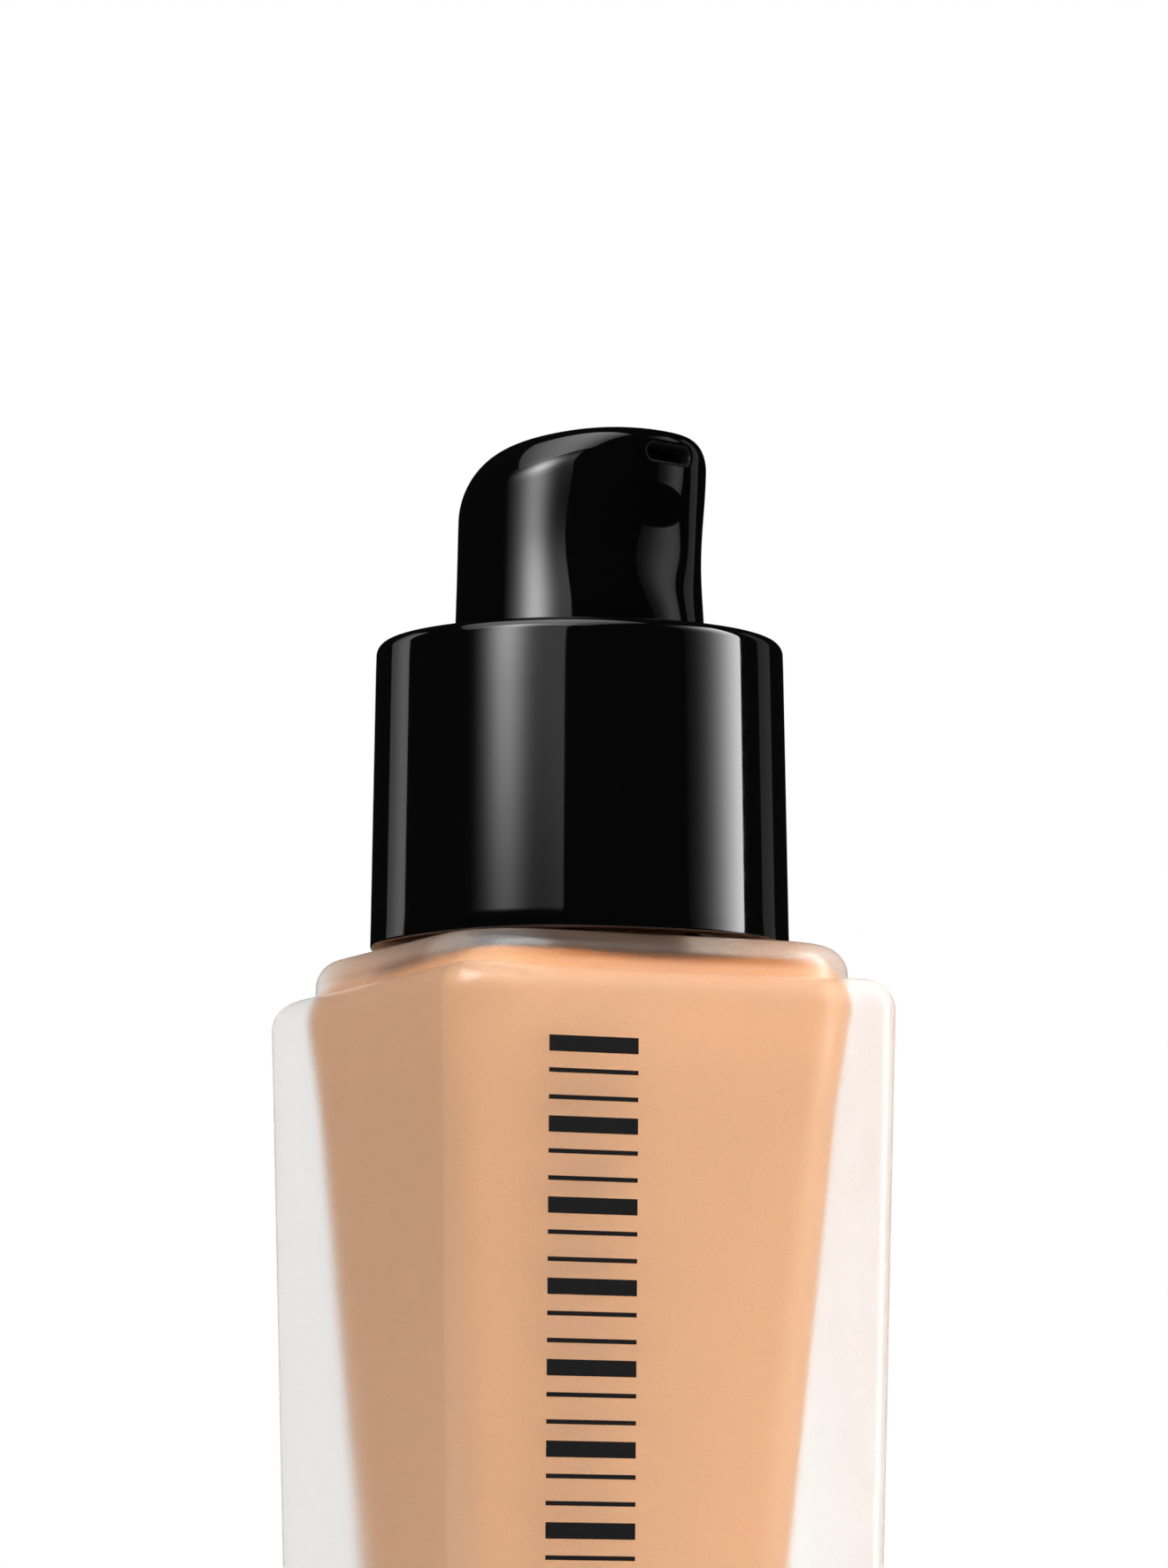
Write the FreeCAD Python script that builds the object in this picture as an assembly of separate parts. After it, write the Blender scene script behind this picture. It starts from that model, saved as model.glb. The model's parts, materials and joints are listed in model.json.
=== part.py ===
"""Square frosted glass foundation bottle with a screw-on pump, one STEP file per physical piece.

Millimetres, +Z up. The origin is the centre of the base, where the bottle stands. The wide printed
face of the bottle looks along -Y. The spout of the pump head is turned a little from that face.
"""
import FreeCAD, Part
import math
import os
from FreeCAD import Base

os.makedirs("parts", exist_ok=True)

Z = Base.Vector(0, 0, 1)
ORIGIN = Base.Vector(0, 0, 0)

# Glass body: square, a little narrower towards its base.
BODY_HALF = 17.75            # half the side of the body at its shoulder
BODY_H = 72.0                # base to shoulder
BODY_TAPER = 0.019           # half-side lost per mm down from the shoulder
BODY_CORNER_R = 2.2
SHOULDER_R = 2.25
BASE_R = 1.8
BASE_RECESS_R = 11.5         # shallow round push-up under the base
BASE_RECESS_H = 0.8

# Glass platform that the collar stands on.
STEP_HALF = 16.4
STEP_CORNER_R = 7.1
STEP_H = 2.6
STEP_EDGE_R = 2.1
STEP_TOP = BODY_H + STEP_H

# Cavity of the bottle: a rounded well that narrows towards a thick base.
CAVITY_FLOOR = 9.0
CAVITY_TOP = 73.4
CAVITY_HALF_TOP = 15.2
CAVITY_HALF_FLOOR = 9.8
CAVITY_CORNER_R = 4.5
CAVITY_FLOOR_R = 4.0
CAVITY_TOP_R = 2.5
THROAT_R = 8.2               # the cone that leads the cavity up into the neck
THROAT_TOP = 75.6
FILL_LEVEL = 74.6
WET_GAP = 0.3                # room between the fluid and the pump's dipping parts

# Neck and its single-start thread.
NECK_R = 7.8
NECK_BORE_R = 5.4
NECK_TOP = STEP_TOP + 11.0
NECK_EDGE_R = 0.5
THREAD_PITCH = 3.0
THREAD_TURNS = 1.5
THREAD_START = STEP_TOP + 3.6
NECK_CREST_R = 8.7
CREST_W = 0.6
ROOT_W = 1.5
THREAD_BITE = 0.25           # how deep a ridge is rooted in its wall
CLOSURE_CREST_R = 8.1
THREAD_DROP = 1.1            # how far the closure's ridge bears below the neck's

# Collar and screw closure.
COLLAR_BOTTOM = STEP_TOP + 0.3
COLLAR_H = 22.5
COLLAR_TOP = COLLAR_BOTTOM + COLLAR_H
COLLAR_R = 15.28
COLLAR_TOP_R = 14.88
COLLAR_WALL = 1.2
COLLAR_ROOF = 1.4
COLLAR_EDGE_R = 0.9
COLLAR_FOOT_R = 0.25
COLLAR_HOLE_R = 9.3
COLLAR_RIM_R = 0.3
GASKET_T = 0.9
GASKET_R = 7.7
FLANGE_T = 1.3
FLANGE_R = 8.0
CLOSURE_BOTTOM = STEP_TOP + 1.2
CLOSURE_R = 11.2
CLOSURE_BORE_R = 9.0
CLOSURE_ROOF = 1.3
CLOSURE_HOLE_R = 6.1
GUIDE_DISC_R = 5.8
GUIDE_SEAL_T = 0.3
LINER_T = 0.9
LINER_ROOF = 1.2
LINER_LIFT = 0.8             # the liner's foot above the collar's foot
RIB_T = 0.8
RIB_COUNT = 24

# Levels from the neck up.
FLANGE_BOTTOM = NECK_TOP + GASKET_T
FLANGE_TOP = FLANGE_BOTTOM + FLANGE_T
CLOSURE_TOP = FLANGE_TOP + CLOSURE_ROOF

# Pump engine.
PUMP_BORE_R = 3.75
BARREL_R = 4.7
BARREL_BOTTOM = 65.4
BORE_FLOOR = 66.9
TUBE_R = 1.5
TUBE_BORE_R = 1.0
TUBE_END = 10.5
SOCKET_R = 2.5
SOCKET_BOTTOM = 57.0
SOCKET_TOP = 62.5
BALL_R = 1.2
BALL_CHAMBER_R = 1.7
INLET_R = 0.8
SEAT_BOTTOM = 63.9           # lower rim of the 45 degree ball seat
SEAT_GAP = 0.02
RUN_GAP = 0.05               # running fit on the radius
STEM_R = 2.2
STEM_BORE_R = 1.25
STEM_TOP = 103.0
STEM_SHOULDER_R = 2.75
STEM_PORT_H = 0.3            # slot under the stem's foot that the piston uncovers
GUIDE_BOTTOM = FLANGE_TOP - 3.0
SHOULDER_TOP = GUIDE_BOTTOM - RUN_GAP
SHOULDER_BOTTOM = SHOULDER_TOP - 0.5
PISTON_FLOAT = 0.8           # free slide of the piston on the stem, which opens its ports
PISTON_H = 3.9
PISTON_BOTTOM = SHOULDER_BOTTOM - RUN_GAP - PISTON_FLOAT - PISTON_H
PISTON_TOP = PISTON_BOTTOM + PISTON_H
LIP_H = 1.6                  # height of each of the piston's flared lips
LIP_T = 0.25
WAIST_R = 3.4
SLEEVE_R = 2.6
CORE_FLANGE_R = 3.1
CORE_FLANGE_TOP = PISTON_BOTTOM - RUN_GAP
CORE_FLANGE_BOTTOM = CORE_FLANGE_TOP - 0.8
CORE_BOSS_H = 1.5
CORE_PIN_H = 3.4
CORE_TIP_H = 0.8
GROOVE_W = 0.7
GROOVE_DEPTH = 0.5
SPRING_WIRE_R = 0.28
SPRING_R = 2.65
SPRING_TURNS = 6
CAGE_T = 1.7
CAGE_TOP = BORE_FLOOR + CAGE_T
CAGE_BOSS_R = 1.7
CAGE_BOSS_H = 1.2
CAGE_PORT_R = 0.55
CAGE_PORT_OUT = 1.35
VENT_R = 0.4
VENT_DROP = 0.7              # the vent hole's depth below the guide

# Pump head.
HEAD_R = 9.03
HEAD_WALL = 1.1
HEAD_ROOF = 0.9
HEAD_BOTTOM = 95.0
HEAD_PEAK = COLLAR_TOP + 14.9
HEAD_LEAN = 0.5              # how far the top leans over the spout side
HEAD_CROWN_R = 50.0          # radius of the top's sweep from back to spout
HEAD_CREST = 8.5             # where the sweep is highest, towards the spout
HEAD_EDGE_R = 1.5
HEAD_TURN = 21.5             # degrees from -Y to the spout, towards +X
SPOUT_Z = COLLAR_TOP + 13.1
SPOUT_W = 5.0
SPOUT_H = 1.75
SPOUT_RIM = 0.3
CORE_TUBE_R = 3.3
CORE_BOTTOM = 96.5
RISER_BORE_R = 1.0
WEB_BOTTOM = 99.6            # the disc that centres the channel in the button
WEB_T = 1.0
WEB_RIM = 0.6
WINDOW_W = 4.6
WINDOW_LENGTH = 3.2
DUCT_END = HEAD_R - HEAD_WALL - 1.0
DUCT_W = 4.2
DUCT_H = 1.45
DUCT_WALL = 0.37
SPOUT_INSET = 0.25           # the lining's face below the button's surface


def save(name, shape):
    """Checks one piece and writes its STEP file."""
    solids = shape.Solids
    valid = shape.isValid()
    print(f"{name:18s} solids {len(solids)} valid {valid} volume {shape.Volume:9.2f}")
    if len(solids) == 1:
        shape = solids[0]
    shape.exportStep(f"parts/{name}.step")


def cylinder(radius, bottom, top):
    """A round bar about the Z axis."""
    return Part.makeCylinder(radius, top - bottom, Base.Vector(0, 0, bottom))


def tube(outer, inner, bottom, top):
    """A round tube about the Z axis."""
    return cylinder(outer, bottom, top).cut(cylinder(inner, bottom - 1, top + 1))


def turned(points):
    """Revolves an outline of (radius, height) points about the Z axis."""
    corners = [Base.Vector(r, 0, z) for r, z in points]
    face = Part.Face(Part.makePolygon(corners + corners[:1]))
    return face.revolve(ORIGIN, Z, 360)


def square_wire(half, z):
    """A square ring of edges at one height."""
    corners = [Base.Vector(x, y, z) for x, y in ((-half, -half), (half, -half), (half, half), (-half, half))]
    return Part.makePolygon(corners + corners[:1])


def edges_at(shape, z):
    """The edges of a shape that lie at one height."""
    return [e for e in shape.Edges if abs(e.BoundBox.ZMin - z) < 1e-4 and abs(e.BoundBox.ZMax - z) < 1e-4]


def upright_edges(shape):
    """The edges of a shape that climb, such as the corners of a square block."""
    return [e for e in shape.Edges if e.BoundBox.ZLength > 1.0]


def square_block(half_bottom, half_top, bottom, top, corner, bottom_edge, top_edge):
    """A square frustum with rounded corners and, where a radius is given, rounded ends."""
    block = Part.makeLoft([square_wire(half_bottom, bottom), square_wire(half_top, top)], True, True)
    block = block.makeFillet(corner, upright_edges(block))
    if bottom_edge:
        block = block.makeFillet(bottom_edge, edges_at(block, bottom))
    if top_edge:
        block = block.makeFillet(top_edge, edges_at(block, top))
    return block


def ridge(root_r, crest_r, start, turns):
    """A helical thread ridge of trapezoid section."""
    helix = Part.makeHelix(THREAD_PITCH, turns * THREAD_PITCH, root_r)
    corners = [
        Base.Vector(root_r, 0, -ROOT_W / 2),
        Base.Vector(crest_r, 0, -CREST_W / 2),
        Base.Vector(crest_r, 0, CREST_W / 2),
        Base.Vector(root_r, 0, ROOT_W / 2),
    ]
    section = Part.makePolygon(corners + corners[:1])
    body = Part.Wire(helix).makePipeShell([section], True, True)
    body.translate(Base.Vector(0, 0, start))
    return body


def stadium_bar(width, height, length):
    """A bar of rounded-slot section that runs along +X from the origin."""
    radius = height / 2
    offset = width / 2 - radius
    middle = Part.makeBox(length, 2 * offset, height, Base.Vector(0, -offset, -radius))
    along = Base.Vector(1, 0, 0)
    for side in (-offset, offset):
        middle = middle.fuse(Part.makeCylinder(radius, length, Base.Vector(0, side, 0), along))
    return middle.removeSplitter()


def cavity():
    """The room inside the glass, with the bore of the neck."""
    well = square_block(CAVITY_HALF_FLOOR, CAVITY_HALF_TOP, CAVITY_FLOOR, CAVITY_TOP,
                        CAVITY_CORNER_R, CAVITY_FLOOR_R, CAVITY_TOP_R)
    throat = turned([
        (0, CAVITY_TOP - 2), (THROAT_R, CAVITY_TOP - 2), (THROAT_R, CAVITY_TOP),
        (NECK_BORE_R, THROAT_TOP), (0, THROAT_TOP),
    ])
    bore = cylinder(NECK_BORE_R, CAVITY_TOP, NECK_TOP + 1)
    return well.fuse(throat).fuse(bore).removeSplitter()


def bottle_glass():
    """The glass: body, platform, neck and thread, with the cavity taken out."""
    base_half = BODY_HALF - BODY_TAPER * BODY_H
    body = square_block(base_half, BODY_HALF, 0, BODY_H, BODY_CORNER_R, BASE_R, SHOULDER_R)
    step = square_block(STEP_HALF, STEP_HALF, BODY_H - 1.5, STEP_TOP, STEP_CORNER_R, 0, STEP_EDGE_R)
    neck = cylinder(NECK_R, BODY_H, NECK_TOP)
    neck = neck.makeFillet(NECK_EDGE_R, edges_at(neck, NECK_TOP))
    thread = ridge(NECK_R - THREAD_BITE, NECK_CREST_R, THREAD_START, THREAD_TURNS)
    recess_top_r = BASE_RECESS_R - 2
    recess = turned([
        (0, -1), (BASE_RECESS_R, -1), (BASE_RECESS_R, 0), (recess_top_r, BASE_RECESS_H), (0, BASE_RECESS_H),
    ])
    return body.fuse(step).fuse(neck).fuse(thread).cut(cavity()).cut(recess)


def foundation_liquid():
    """The make-up fluid, filled into the foot of the neck, clear of the pump's dipping parts."""
    room = cavity().common(cylinder(BODY_HALF * 2, 0, FILL_LEVEL))
    for radius, bottom in ((BARREL_R, SOCKET_TOP), (SOCKET_R, SOCKET_BOTTOM), (TUBE_R, TUBE_END)):
        room = room.cut(cylinder(radius + WET_GAP, bottom - WET_GAP, FILL_LEVEL + 1))
    return room


def neck_gasket():
    """The soft ring that seals the pump flange on the rim of the neck."""
    return tube(GASKET_R, BARREL_R + WET_GAP, NECK_TOP, FLANGE_BOTTOM)


def pump_housing():
    """The pump's barrel, with its flange, ball seat, vent hole and dip tube socket."""
    outside = turned([
        (0, SOCKET_BOTTOM), (SOCKET_R, SOCKET_BOTTOM), (SOCKET_R, SOCKET_TOP),
        (BARREL_R, BARREL_BOTTOM), (BARREL_R, FLANGE_BOTTOM), (FLANGE_R, FLANGE_BOTTOM),
        (FLANGE_R, FLANGE_TOP), (0, FLANGE_TOP),
    ])
    seat_rise = BALL_CHAMBER_R - INLET_R
    inside = turned([
        (0, SOCKET_BOTTOM - 1), (TUBE_R, SOCKET_BOTTOM - 1), (TUBE_R, SOCKET_TOP), (INLET_R, SOCKET_TOP),
        (INLET_R, SEAT_BOTTOM), (BALL_CHAMBER_R, SEAT_BOTTOM + seat_rise), (BALL_CHAMBER_R, BORE_FLOOR),
        (PUMP_BORE_R, BORE_FLOOR), (PUMP_BORE_R, FLANGE_TOP + 1), (0, FLANGE_TOP + 1),
    ])
    vent_start = Base.Vector(0, 0, GUIDE_BOTTOM - VENT_DROP)
    vent = Part.makeCylinder(VENT_R, BARREL_R + 1, vent_start, Base.Vector(0, 1, 0))
    return outside.cut(inside).cut(vent)


def dip_tube():
    """The straight draw tube, pushed into the housing's socket and cut aslant at its foot."""
    pipe = tube(TUBE_R, TUBE_BORE_R, TUBE_END, SOCKET_TOP)
    wedge = Part.makeBox(10, 10, 10, Base.Vector(-5, 0, -10))
    wedge.rotate(ORIGIN, Base.Vector(1, 0, 0), 45)
    wedge.translate(Base.Vector(0, -TUBE_R, TUBE_END))
    return pipe.cut(wedge)


def inlet_ball():
    """The steel ball that closes the inlet, resting on its cone."""
    centre = SEAT_BOTTOM - INLET_R + BALL_R * math.sqrt(2) + SEAT_GAP
    return Part.makeSphere(BALL_R, Base.Vector(0, 0, centre))


def ball_cage():
    """The crowned disc that keeps the ball in and carries the spring's lower end."""
    disc = cylinder(PUMP_BORE_R, BORE_FLOOR, CAGE_TOP)
    boss = cylinder(CAGE_BOSS_R, CAGE_TOP, CAGE_TOP + CAGE_BOSS_H)
    cage = disc.fuse(boss)
    for quarter in range(4):
        port = Part.makeCylinder(CAGE_PORT_R, CAGE_T + 2, Base.Vector(CAGE_PORT_OUT, 0, BORE_FLOOR - 1))
        port.rotate(ORIGIN, Z, 90 * quarter)
        cage = cage.cut(port)
    return cage


def return_spring():
    """The steel coil spring, between the ball cage and the foot of the stem."""
    bottom = CAGE_TOP + SPRING_WIRE_R
    top = CORE_FLANGE_BOTTOM - SPRING_WIRE_R
    helix = Part.makeHelix((top - bottom) / SPRING_TURNS, top - bottom, SPRING_R)
    circle = Part.Circle(Base.Vector(SPRING_R, 0, 0), Base.Vector(0, 1, 0), SPRING_WIRE_R)
    coil = Part.Wire(helix).makePipeShell([Part.Wire(circle.toShape())], True, True)
    coil.translate(Base.Vector(0, 0, bottom))
    return coil


def piston_core():
    """The plug in the foot of the stem: it closes the piston's lower lip and seats the spring."""
    boss_bottom = CORE_FLANGE_BOTTOM - CORE_BOSS_H
    pin_top = CORE_FLANGE_TOP + CORE_PIN_H
    tip_top = pin_top + CORE_TIP_H
    boss_r = SPRING_R - SPRING_WIRE_R - 0.4
    tip_r = STEM_BORE_R - 0.4
    plug = turned([
        (0, boss_bottom), (boss_r - 0.4, boss_bottom), (boss_r, CORE_FLANGE_BOTTOM),
        (CORE_FLANGE_R, CORE_FLANGE_BOTTOM), (CORE_FLANGE_R, CORE_FLANGE_TOP), (STEM_BORE_R, CORE_FLANGE_TOP),
        (STEM_BORE_R, pin_top), (tip_r, tip_top), (0, tip_top),
    ])
    for side in range(2):
        corner = Base.Vector(-GROOVE_W / 2, STEM_BORE_R - GROOVE_DEPTH, CORE_FLANGE_TOP)
        groove = Part.makeBox(GROOVE_W, CORE_FLANGE_R, CORE_PIN_H + CORE_TIP_H, corner)
        groove.rotate(ORIGIN, Z, 180 * side)
        plug = plug.cut(groove)
    return plug


def piston():
    """The soft sliding piston, with two lips on the barrel wall and a sleeve on the stem."""
    lip = PUMP_BORE_R - RUN_GAP
    sleeve = STEM_R + RUN_GAP
    hollow = LIP_H - 0.4
    band = LIP_H - 1.0
    hollow_r = (WAIST_R + SLEEVE_R) / 2
    return turned([
        (sleeve, PISTON_BOTTOM), (SLEEVE_R, PISTON_BOTTOM), (hollow_r, PISTON_BOTTOM + hollow),
        (lip - LIP_T, PISTON_BOTTOM), (lip, PISTON_BOTTOM), (lip, PISTON_BOTTOM + band),
        (WAIST_R, PISTON_BOTTOM + LIP_H), (WAIST_R, PISTON_TOP - LIP_H), (lip, PISTON_TOP - band),
        (lip, PISTON_TOP), (lip - LIP_T, PISTON_TOP), (hollow_r, PISTON_TOP - hollow),
        (sleeve, PISTON_TOP - hollow),
    ])


def stem():
    """The hollow stem that the head pushes, with the shoulder that stops it under the guide."""
    foot = CORE_FLANGE_TOP + STEM_PORT_H
    return turned([
        (STEM_BORE_R, foot), (STEM_R, foot), (STEM_R, SHOULDER_BOTTOM), (STEM_SHOULDER_R, SHOULDER_BOTTOM),
        (STEM_SHOULDER_R, SHOULDER_TOP), (STEM_R, SHOULDER_TOP), (STEM_R, STEM_TOP), (STEM_BORE_R, STEM_TOP),
    ])


def stem_guide():
    """The bushing pressed into the mouth of the barrel, which guides the stem."""
    bore = STEM_R + RUN_GAP
    disc_bottom = FLANGE_TOP + GUIDE_SEAL_T
    disc_top = disc_bottom + 1.0
    boss_top = disc_top + 1.0
    return turned([
        (bore, GUIDE_BOTTOM), (PUMP_BORE_R, GUIDE_BOTTOM), (PUMP_BORE_R, disc_bottom),
        (GUIDE_DISC_R, disc_bottom), (GUIDE_DISC_R, disc_top), (PUMP_BORE_R, disc_top),
        (PUMP_BORE_R - 0.5, boss_top), (bore, boss_top),
    ])


def guide_seal():
    """The thin sealing ring between the guide's disc and the housing's flange."""
    return tube(GUIDE_DISC_R, PUMP_BORE_R, FLANGE_TOP, FLANGE_TOP + GUIDE_SEAL_T)


def screw_closure():
    """The threaded inner cap that clamps the pump on the neck, with grip ribs outside."""
    cap = cylinder(CLOSURE_R, CLOSURE_BOTTOM, CLOSURE_TOP)
    cap = cap.cut(cylinder(CLOSURE_BORE_R, CLOSURE_BOTTOM - 1, FLANGE_TOP))
    cap = cap.cut(cylinder(CLOSURE_HOLE_R, CLOSURE_BOTTOM, CLOSURE_TOP + 1))
    thread = ridge(CLOSURE_BORE_R + THREAD_BITE, CLOSURE_CREST_R, THREAD_START - THREAD_DROP, THREAD_TURNS)
    return cap.fuse(thread)


def collar_liner():
    """The moulded liner between closure and collar, with grip ribs and a guide ring for the head."""
    outer = COLLAR_TOP_R - COLLAR_WALL
    roof_top = COLLAR_TOP - COLLAR_ROOF
    liner = tube(outer, outer - LINER_T, COLLAR_BOTTOM + LINER_LIFT, roof_top)
    liner = liner.fuse(tube(outer, COLLAR_HOLE_R, roof_top - LINER_ROOF, roof_top))
    liner = liner.fuse(tube(COLLAR_HOLE_R + LINER_T, COLLAR_HOLE_R, CLOSURE_TOP + RUN_GAP, roof_top))
    reach = outer - LINER_T / 2 - CLOSURE_R
    for index in range(RIB_COUNT):
        corner = Base.Vector(CLOSURE_R, -RIB_T / 2, CLOSURE_BOTTOM)
        rib = Part.makeBox(reach, RIB_T, CLOSURE_TOP - CLOSURE_BOTTOM, corner)
        rib.rotate(ORIGIN, Z, 360 / RIB_COUNT * index)
        liner = liner.fuse(rib.cut(cylinder(CLOSURE_R, CLOSURE_BOTTOM - 1, CLOSURE_TOP + 1)))
    return liner


def collar_shell():
    """The tall outer collar, a very slight cone with a soft top edge."""
    outside = Part.makeCone(COLLAR_R, COLLAR_TOP_R, COLLAR_H, Base.Vector(0, 0, COLLAR_BOTTOM))
    outside = outside.makeFillet(COLLAR_EDGE_R, edges_at(outside, COLLAR_TOP))
    outside = outside.makeFillet(COLLAR_FOOT_R, edges_at(outside, COLLAR_BOTTOM))
    hole = cylinder(COLLAR_HOLE_R, COLLAR_BOTTOM, COLLAR_TOP + 1)
    room = cylinder(COLLAR_TOP_R - COLLAR_WALL, COLLAR_BOTTOM - 1, COLLAR_TOP - COLLAR_ROOF)
    shell = outside.cut(room).cut(hole)
    rim = [e for e in edges_at(shell, COLLAR_TOP) if e.BoundBox.XLength < 2 * COLLAR_HOLE_R + 0.1]
    return shell.makeFillet(COLLAR_RIM_R, rim)


def lean(z):
    """How far the head's section at this height is shifted towards the spout."""
    rise = (z - COLLAR_TOP) / (HEAD_PEAK - COLLAR_TOP)
    return HEAD_LEAN * max(rise, 0) ** 2


def head_column(radius, bottom, top, sections=6):
    """The round column of the head, leaning softly to the spout side, which is +X here."""
    rings = []
    for index in range(sections):
        z = bottom + (top - bottom) * index / (sections - 1)
        circle = Part.Circle(Base.Vector(lean(z), 0, z), Z, radius)
        rings.append(Part.Wire(circle.toShape()))
    return Part.makeLoft(rings, True, False)


def under_crown(drop):
    """All the space below the head's swept top, lowered by drop. The spout side is +X."""
    radius = HEAD_CROWN_R - drop
    centre = Base.Vector(HEAD_CREST, -20, HEAD_PEAK - HEAD_CROWN_R)
    sweep = Part.makeCylinder(radius, 40, centre, Base.Vector(0, 1, 0))
    corner = Base.Vector(HEAD_CREST, -20, HEAD_BOTTOM - 5)
    ahead = Part.makeBox(20, 40, HEAD_PEAK - drop - corner.z, corner)
    return sweep.fuse(ahead)


def turn_head(shape):
    """Turns a piece modelled with its spout along +X to the spout's direction at rest."""
    shape.rotate(ORIGIN, Z, HEAD_TURN - 90)
    return shape


def spout_bar(grow, start, end):
    """The rounded slot of the spout, from one distance off the axis to another."""
    bar = stadium_bar(SPOUT_W + 2 * grow, SPOUT_H + 2 * grow, end - start)
    bar.translate(Base.Vector(start, 0, SPOUT_Z))
    return bar


def actuator_shell():
    """The glossy button: a hollow leaning column under a swept top, with the spout slot."""
    solid = head_column(HEAD_R, HEAD_BOTTOM, HEAD_PEAK + 1).common(under_crown(0))
    crown_edges = [e for e in solid.Edges if e.BoundBox.ZMin > COLLAR_TOP + 1 and e.BoundBox.YLength > 5]
    solid = solid.makeFillet(HEAD_EDGE_R, crown_edges)
    hollow = head_column(HEAD_R - HEAD_WALL, HEAD_BOTTOM - 1, HEAD_PEAK + 1).common(under_crown(HEAD_ROOF))
    return turn_head(solid.cut(hollow).cut(spout_bar(0, 4.0, HEAD_R + 3)))


def nozzle_insert():
    """The slot-shaped lining of the spout."""
    front = HEAD_R + lean(SPOUT_Z) - SPOUT_INSET
    lining = spout_bar(0, DUCT_END, front)
    return turn_head(lining.cut(spout_bar(-SPOUT_RIM, 0, front + 2)))


def actuator_core():
    """The inner channel: a socket on the stem, a riser and the flat duct to the spout."""
    riser_top = HEAD_PEAK - 4.3
    core = cylinder(CORE_TUBE_R, CORE_BOTTOM, riser_top)
    web = cylinder(HEAD_R - HEAD_WALL, WEB_BOTTOM, WEB_BOTTOM + WEB_T)
    for quarter in range(4):
        corner = Base.Vector(CORE_TUBE_R + WEB_RIM, -WINDOW_W / 2, WEB_BOTTOM - WEB_T)
        window = Part.makeBox(WINDOW_LENGTH, WINDOW_W, 3 * WEB_T, corner)
        window.rotate(ORIGIN, Z, 45 + 90 * quarter)
        web = web.cut(window)
    core = core.fuse(web)
    duct_start_z = riser_top + 0.2
    climb = math.degrees(math.atan2(SPOUT_Z - 0.15 - duct_start_z, DUCT_END))
    length = DUCT_END / math.cos(math.radians(climb))
    duct = stadium_bar(DUCT_W, DUCT_H, length - 0.2)
    channel = stadium_bar(DUCT_W - 2 * DUCT_WALL, DUCT_H - 2 * DUCT_WALL, length + 1)
    for bar in (duct, channel):
        bar.rotate(ORIGIN, Base.Vector(0, 1, 0), -climb)
        bar.translate(Base.Vector(0, 0, duct_start_z))
    core = core.fuse(duct)
    core = core.cut(cylinder(STEM_R + RUN_GAP, CORE_BOTTOM - 1, STEM_TOP + 0.1))
    core = core.cut(cylinder(RISER_BORE_R, STEM_TOP - 1, riser_top))
    return turn_head(core.cut(channel))


PIECES = (
    bottle_glass, foundation_liquid, neck_gasket, pump_housing, dip_tube, inlet_ball, ball_cage,
    return_spring, piston_core, piston, stem, stem_guide, guide_seal, screw_closure, collar_liner,
    collar_shell, actuator_shell, nozzle_insert, actuator_core,
)
for piece in PIECES:
    save(piece.__name__, piece())
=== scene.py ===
"""Studio scene of a square frosted glass bottle of foundation with a press-down pump head.

Every length is in metres unless its name ends in _MM. The bottle stands on the floor with its axis
on Z, its printed face looks along -Y, and the spout is turned a little from that face.
"""

import json
import logging
import math
from dataclasses import dataclass, field
from enum import Enum

import bpy
import numpy as np
from mathutils import Matrix, Vector


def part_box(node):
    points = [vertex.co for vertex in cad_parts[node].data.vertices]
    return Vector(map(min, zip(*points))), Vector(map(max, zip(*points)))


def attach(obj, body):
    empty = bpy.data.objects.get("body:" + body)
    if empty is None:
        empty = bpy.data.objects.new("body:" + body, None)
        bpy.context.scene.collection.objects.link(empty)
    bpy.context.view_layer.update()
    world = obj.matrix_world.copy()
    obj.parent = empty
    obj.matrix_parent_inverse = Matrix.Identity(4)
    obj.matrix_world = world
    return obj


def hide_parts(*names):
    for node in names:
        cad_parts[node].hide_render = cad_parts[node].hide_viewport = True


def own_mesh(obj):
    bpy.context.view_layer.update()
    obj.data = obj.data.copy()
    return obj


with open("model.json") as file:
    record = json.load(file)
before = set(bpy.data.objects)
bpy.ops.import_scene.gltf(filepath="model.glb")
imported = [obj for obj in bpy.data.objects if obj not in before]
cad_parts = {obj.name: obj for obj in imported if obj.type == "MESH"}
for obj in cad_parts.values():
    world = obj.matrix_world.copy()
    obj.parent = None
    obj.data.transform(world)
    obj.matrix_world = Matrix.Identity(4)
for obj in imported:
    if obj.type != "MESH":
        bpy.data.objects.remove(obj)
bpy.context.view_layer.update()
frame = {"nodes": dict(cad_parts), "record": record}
MM = 0.001
ROUND = 0.5523  # the share of a corner that a cubic curve needs for a quarter of a circle
SHARP_DEG = 35  # edges that turn by more than this stay sharp
NOISE_MIDDLE = (0.3, 0.7)  # the span that most of a noise's values lie in
LOG = logging.getLogger("bottle")

Ring = np.ndarray
Point = tuple[float, float, float]


class Body(str, Enum):
    """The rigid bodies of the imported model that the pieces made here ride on."""

    BOTTLE = "bottle"
    CLOSURE = "closure"
    PLUNGER = "plunger"
    HEAD = "head"


class Slot(str, Enum):
    """The record's material slots."""

    GLASS = "frosted_glass"
    FLUID = "foundation"
    BLACK = "gloss_black"
    INNER = "inner_black"
    NATURAL = "natural_plastic"
    TUBE = "tube_plastic"
    SEAL = "soft_seal"
    STEEL = "steel"


# ---------------------------------------------------------------- materials


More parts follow.
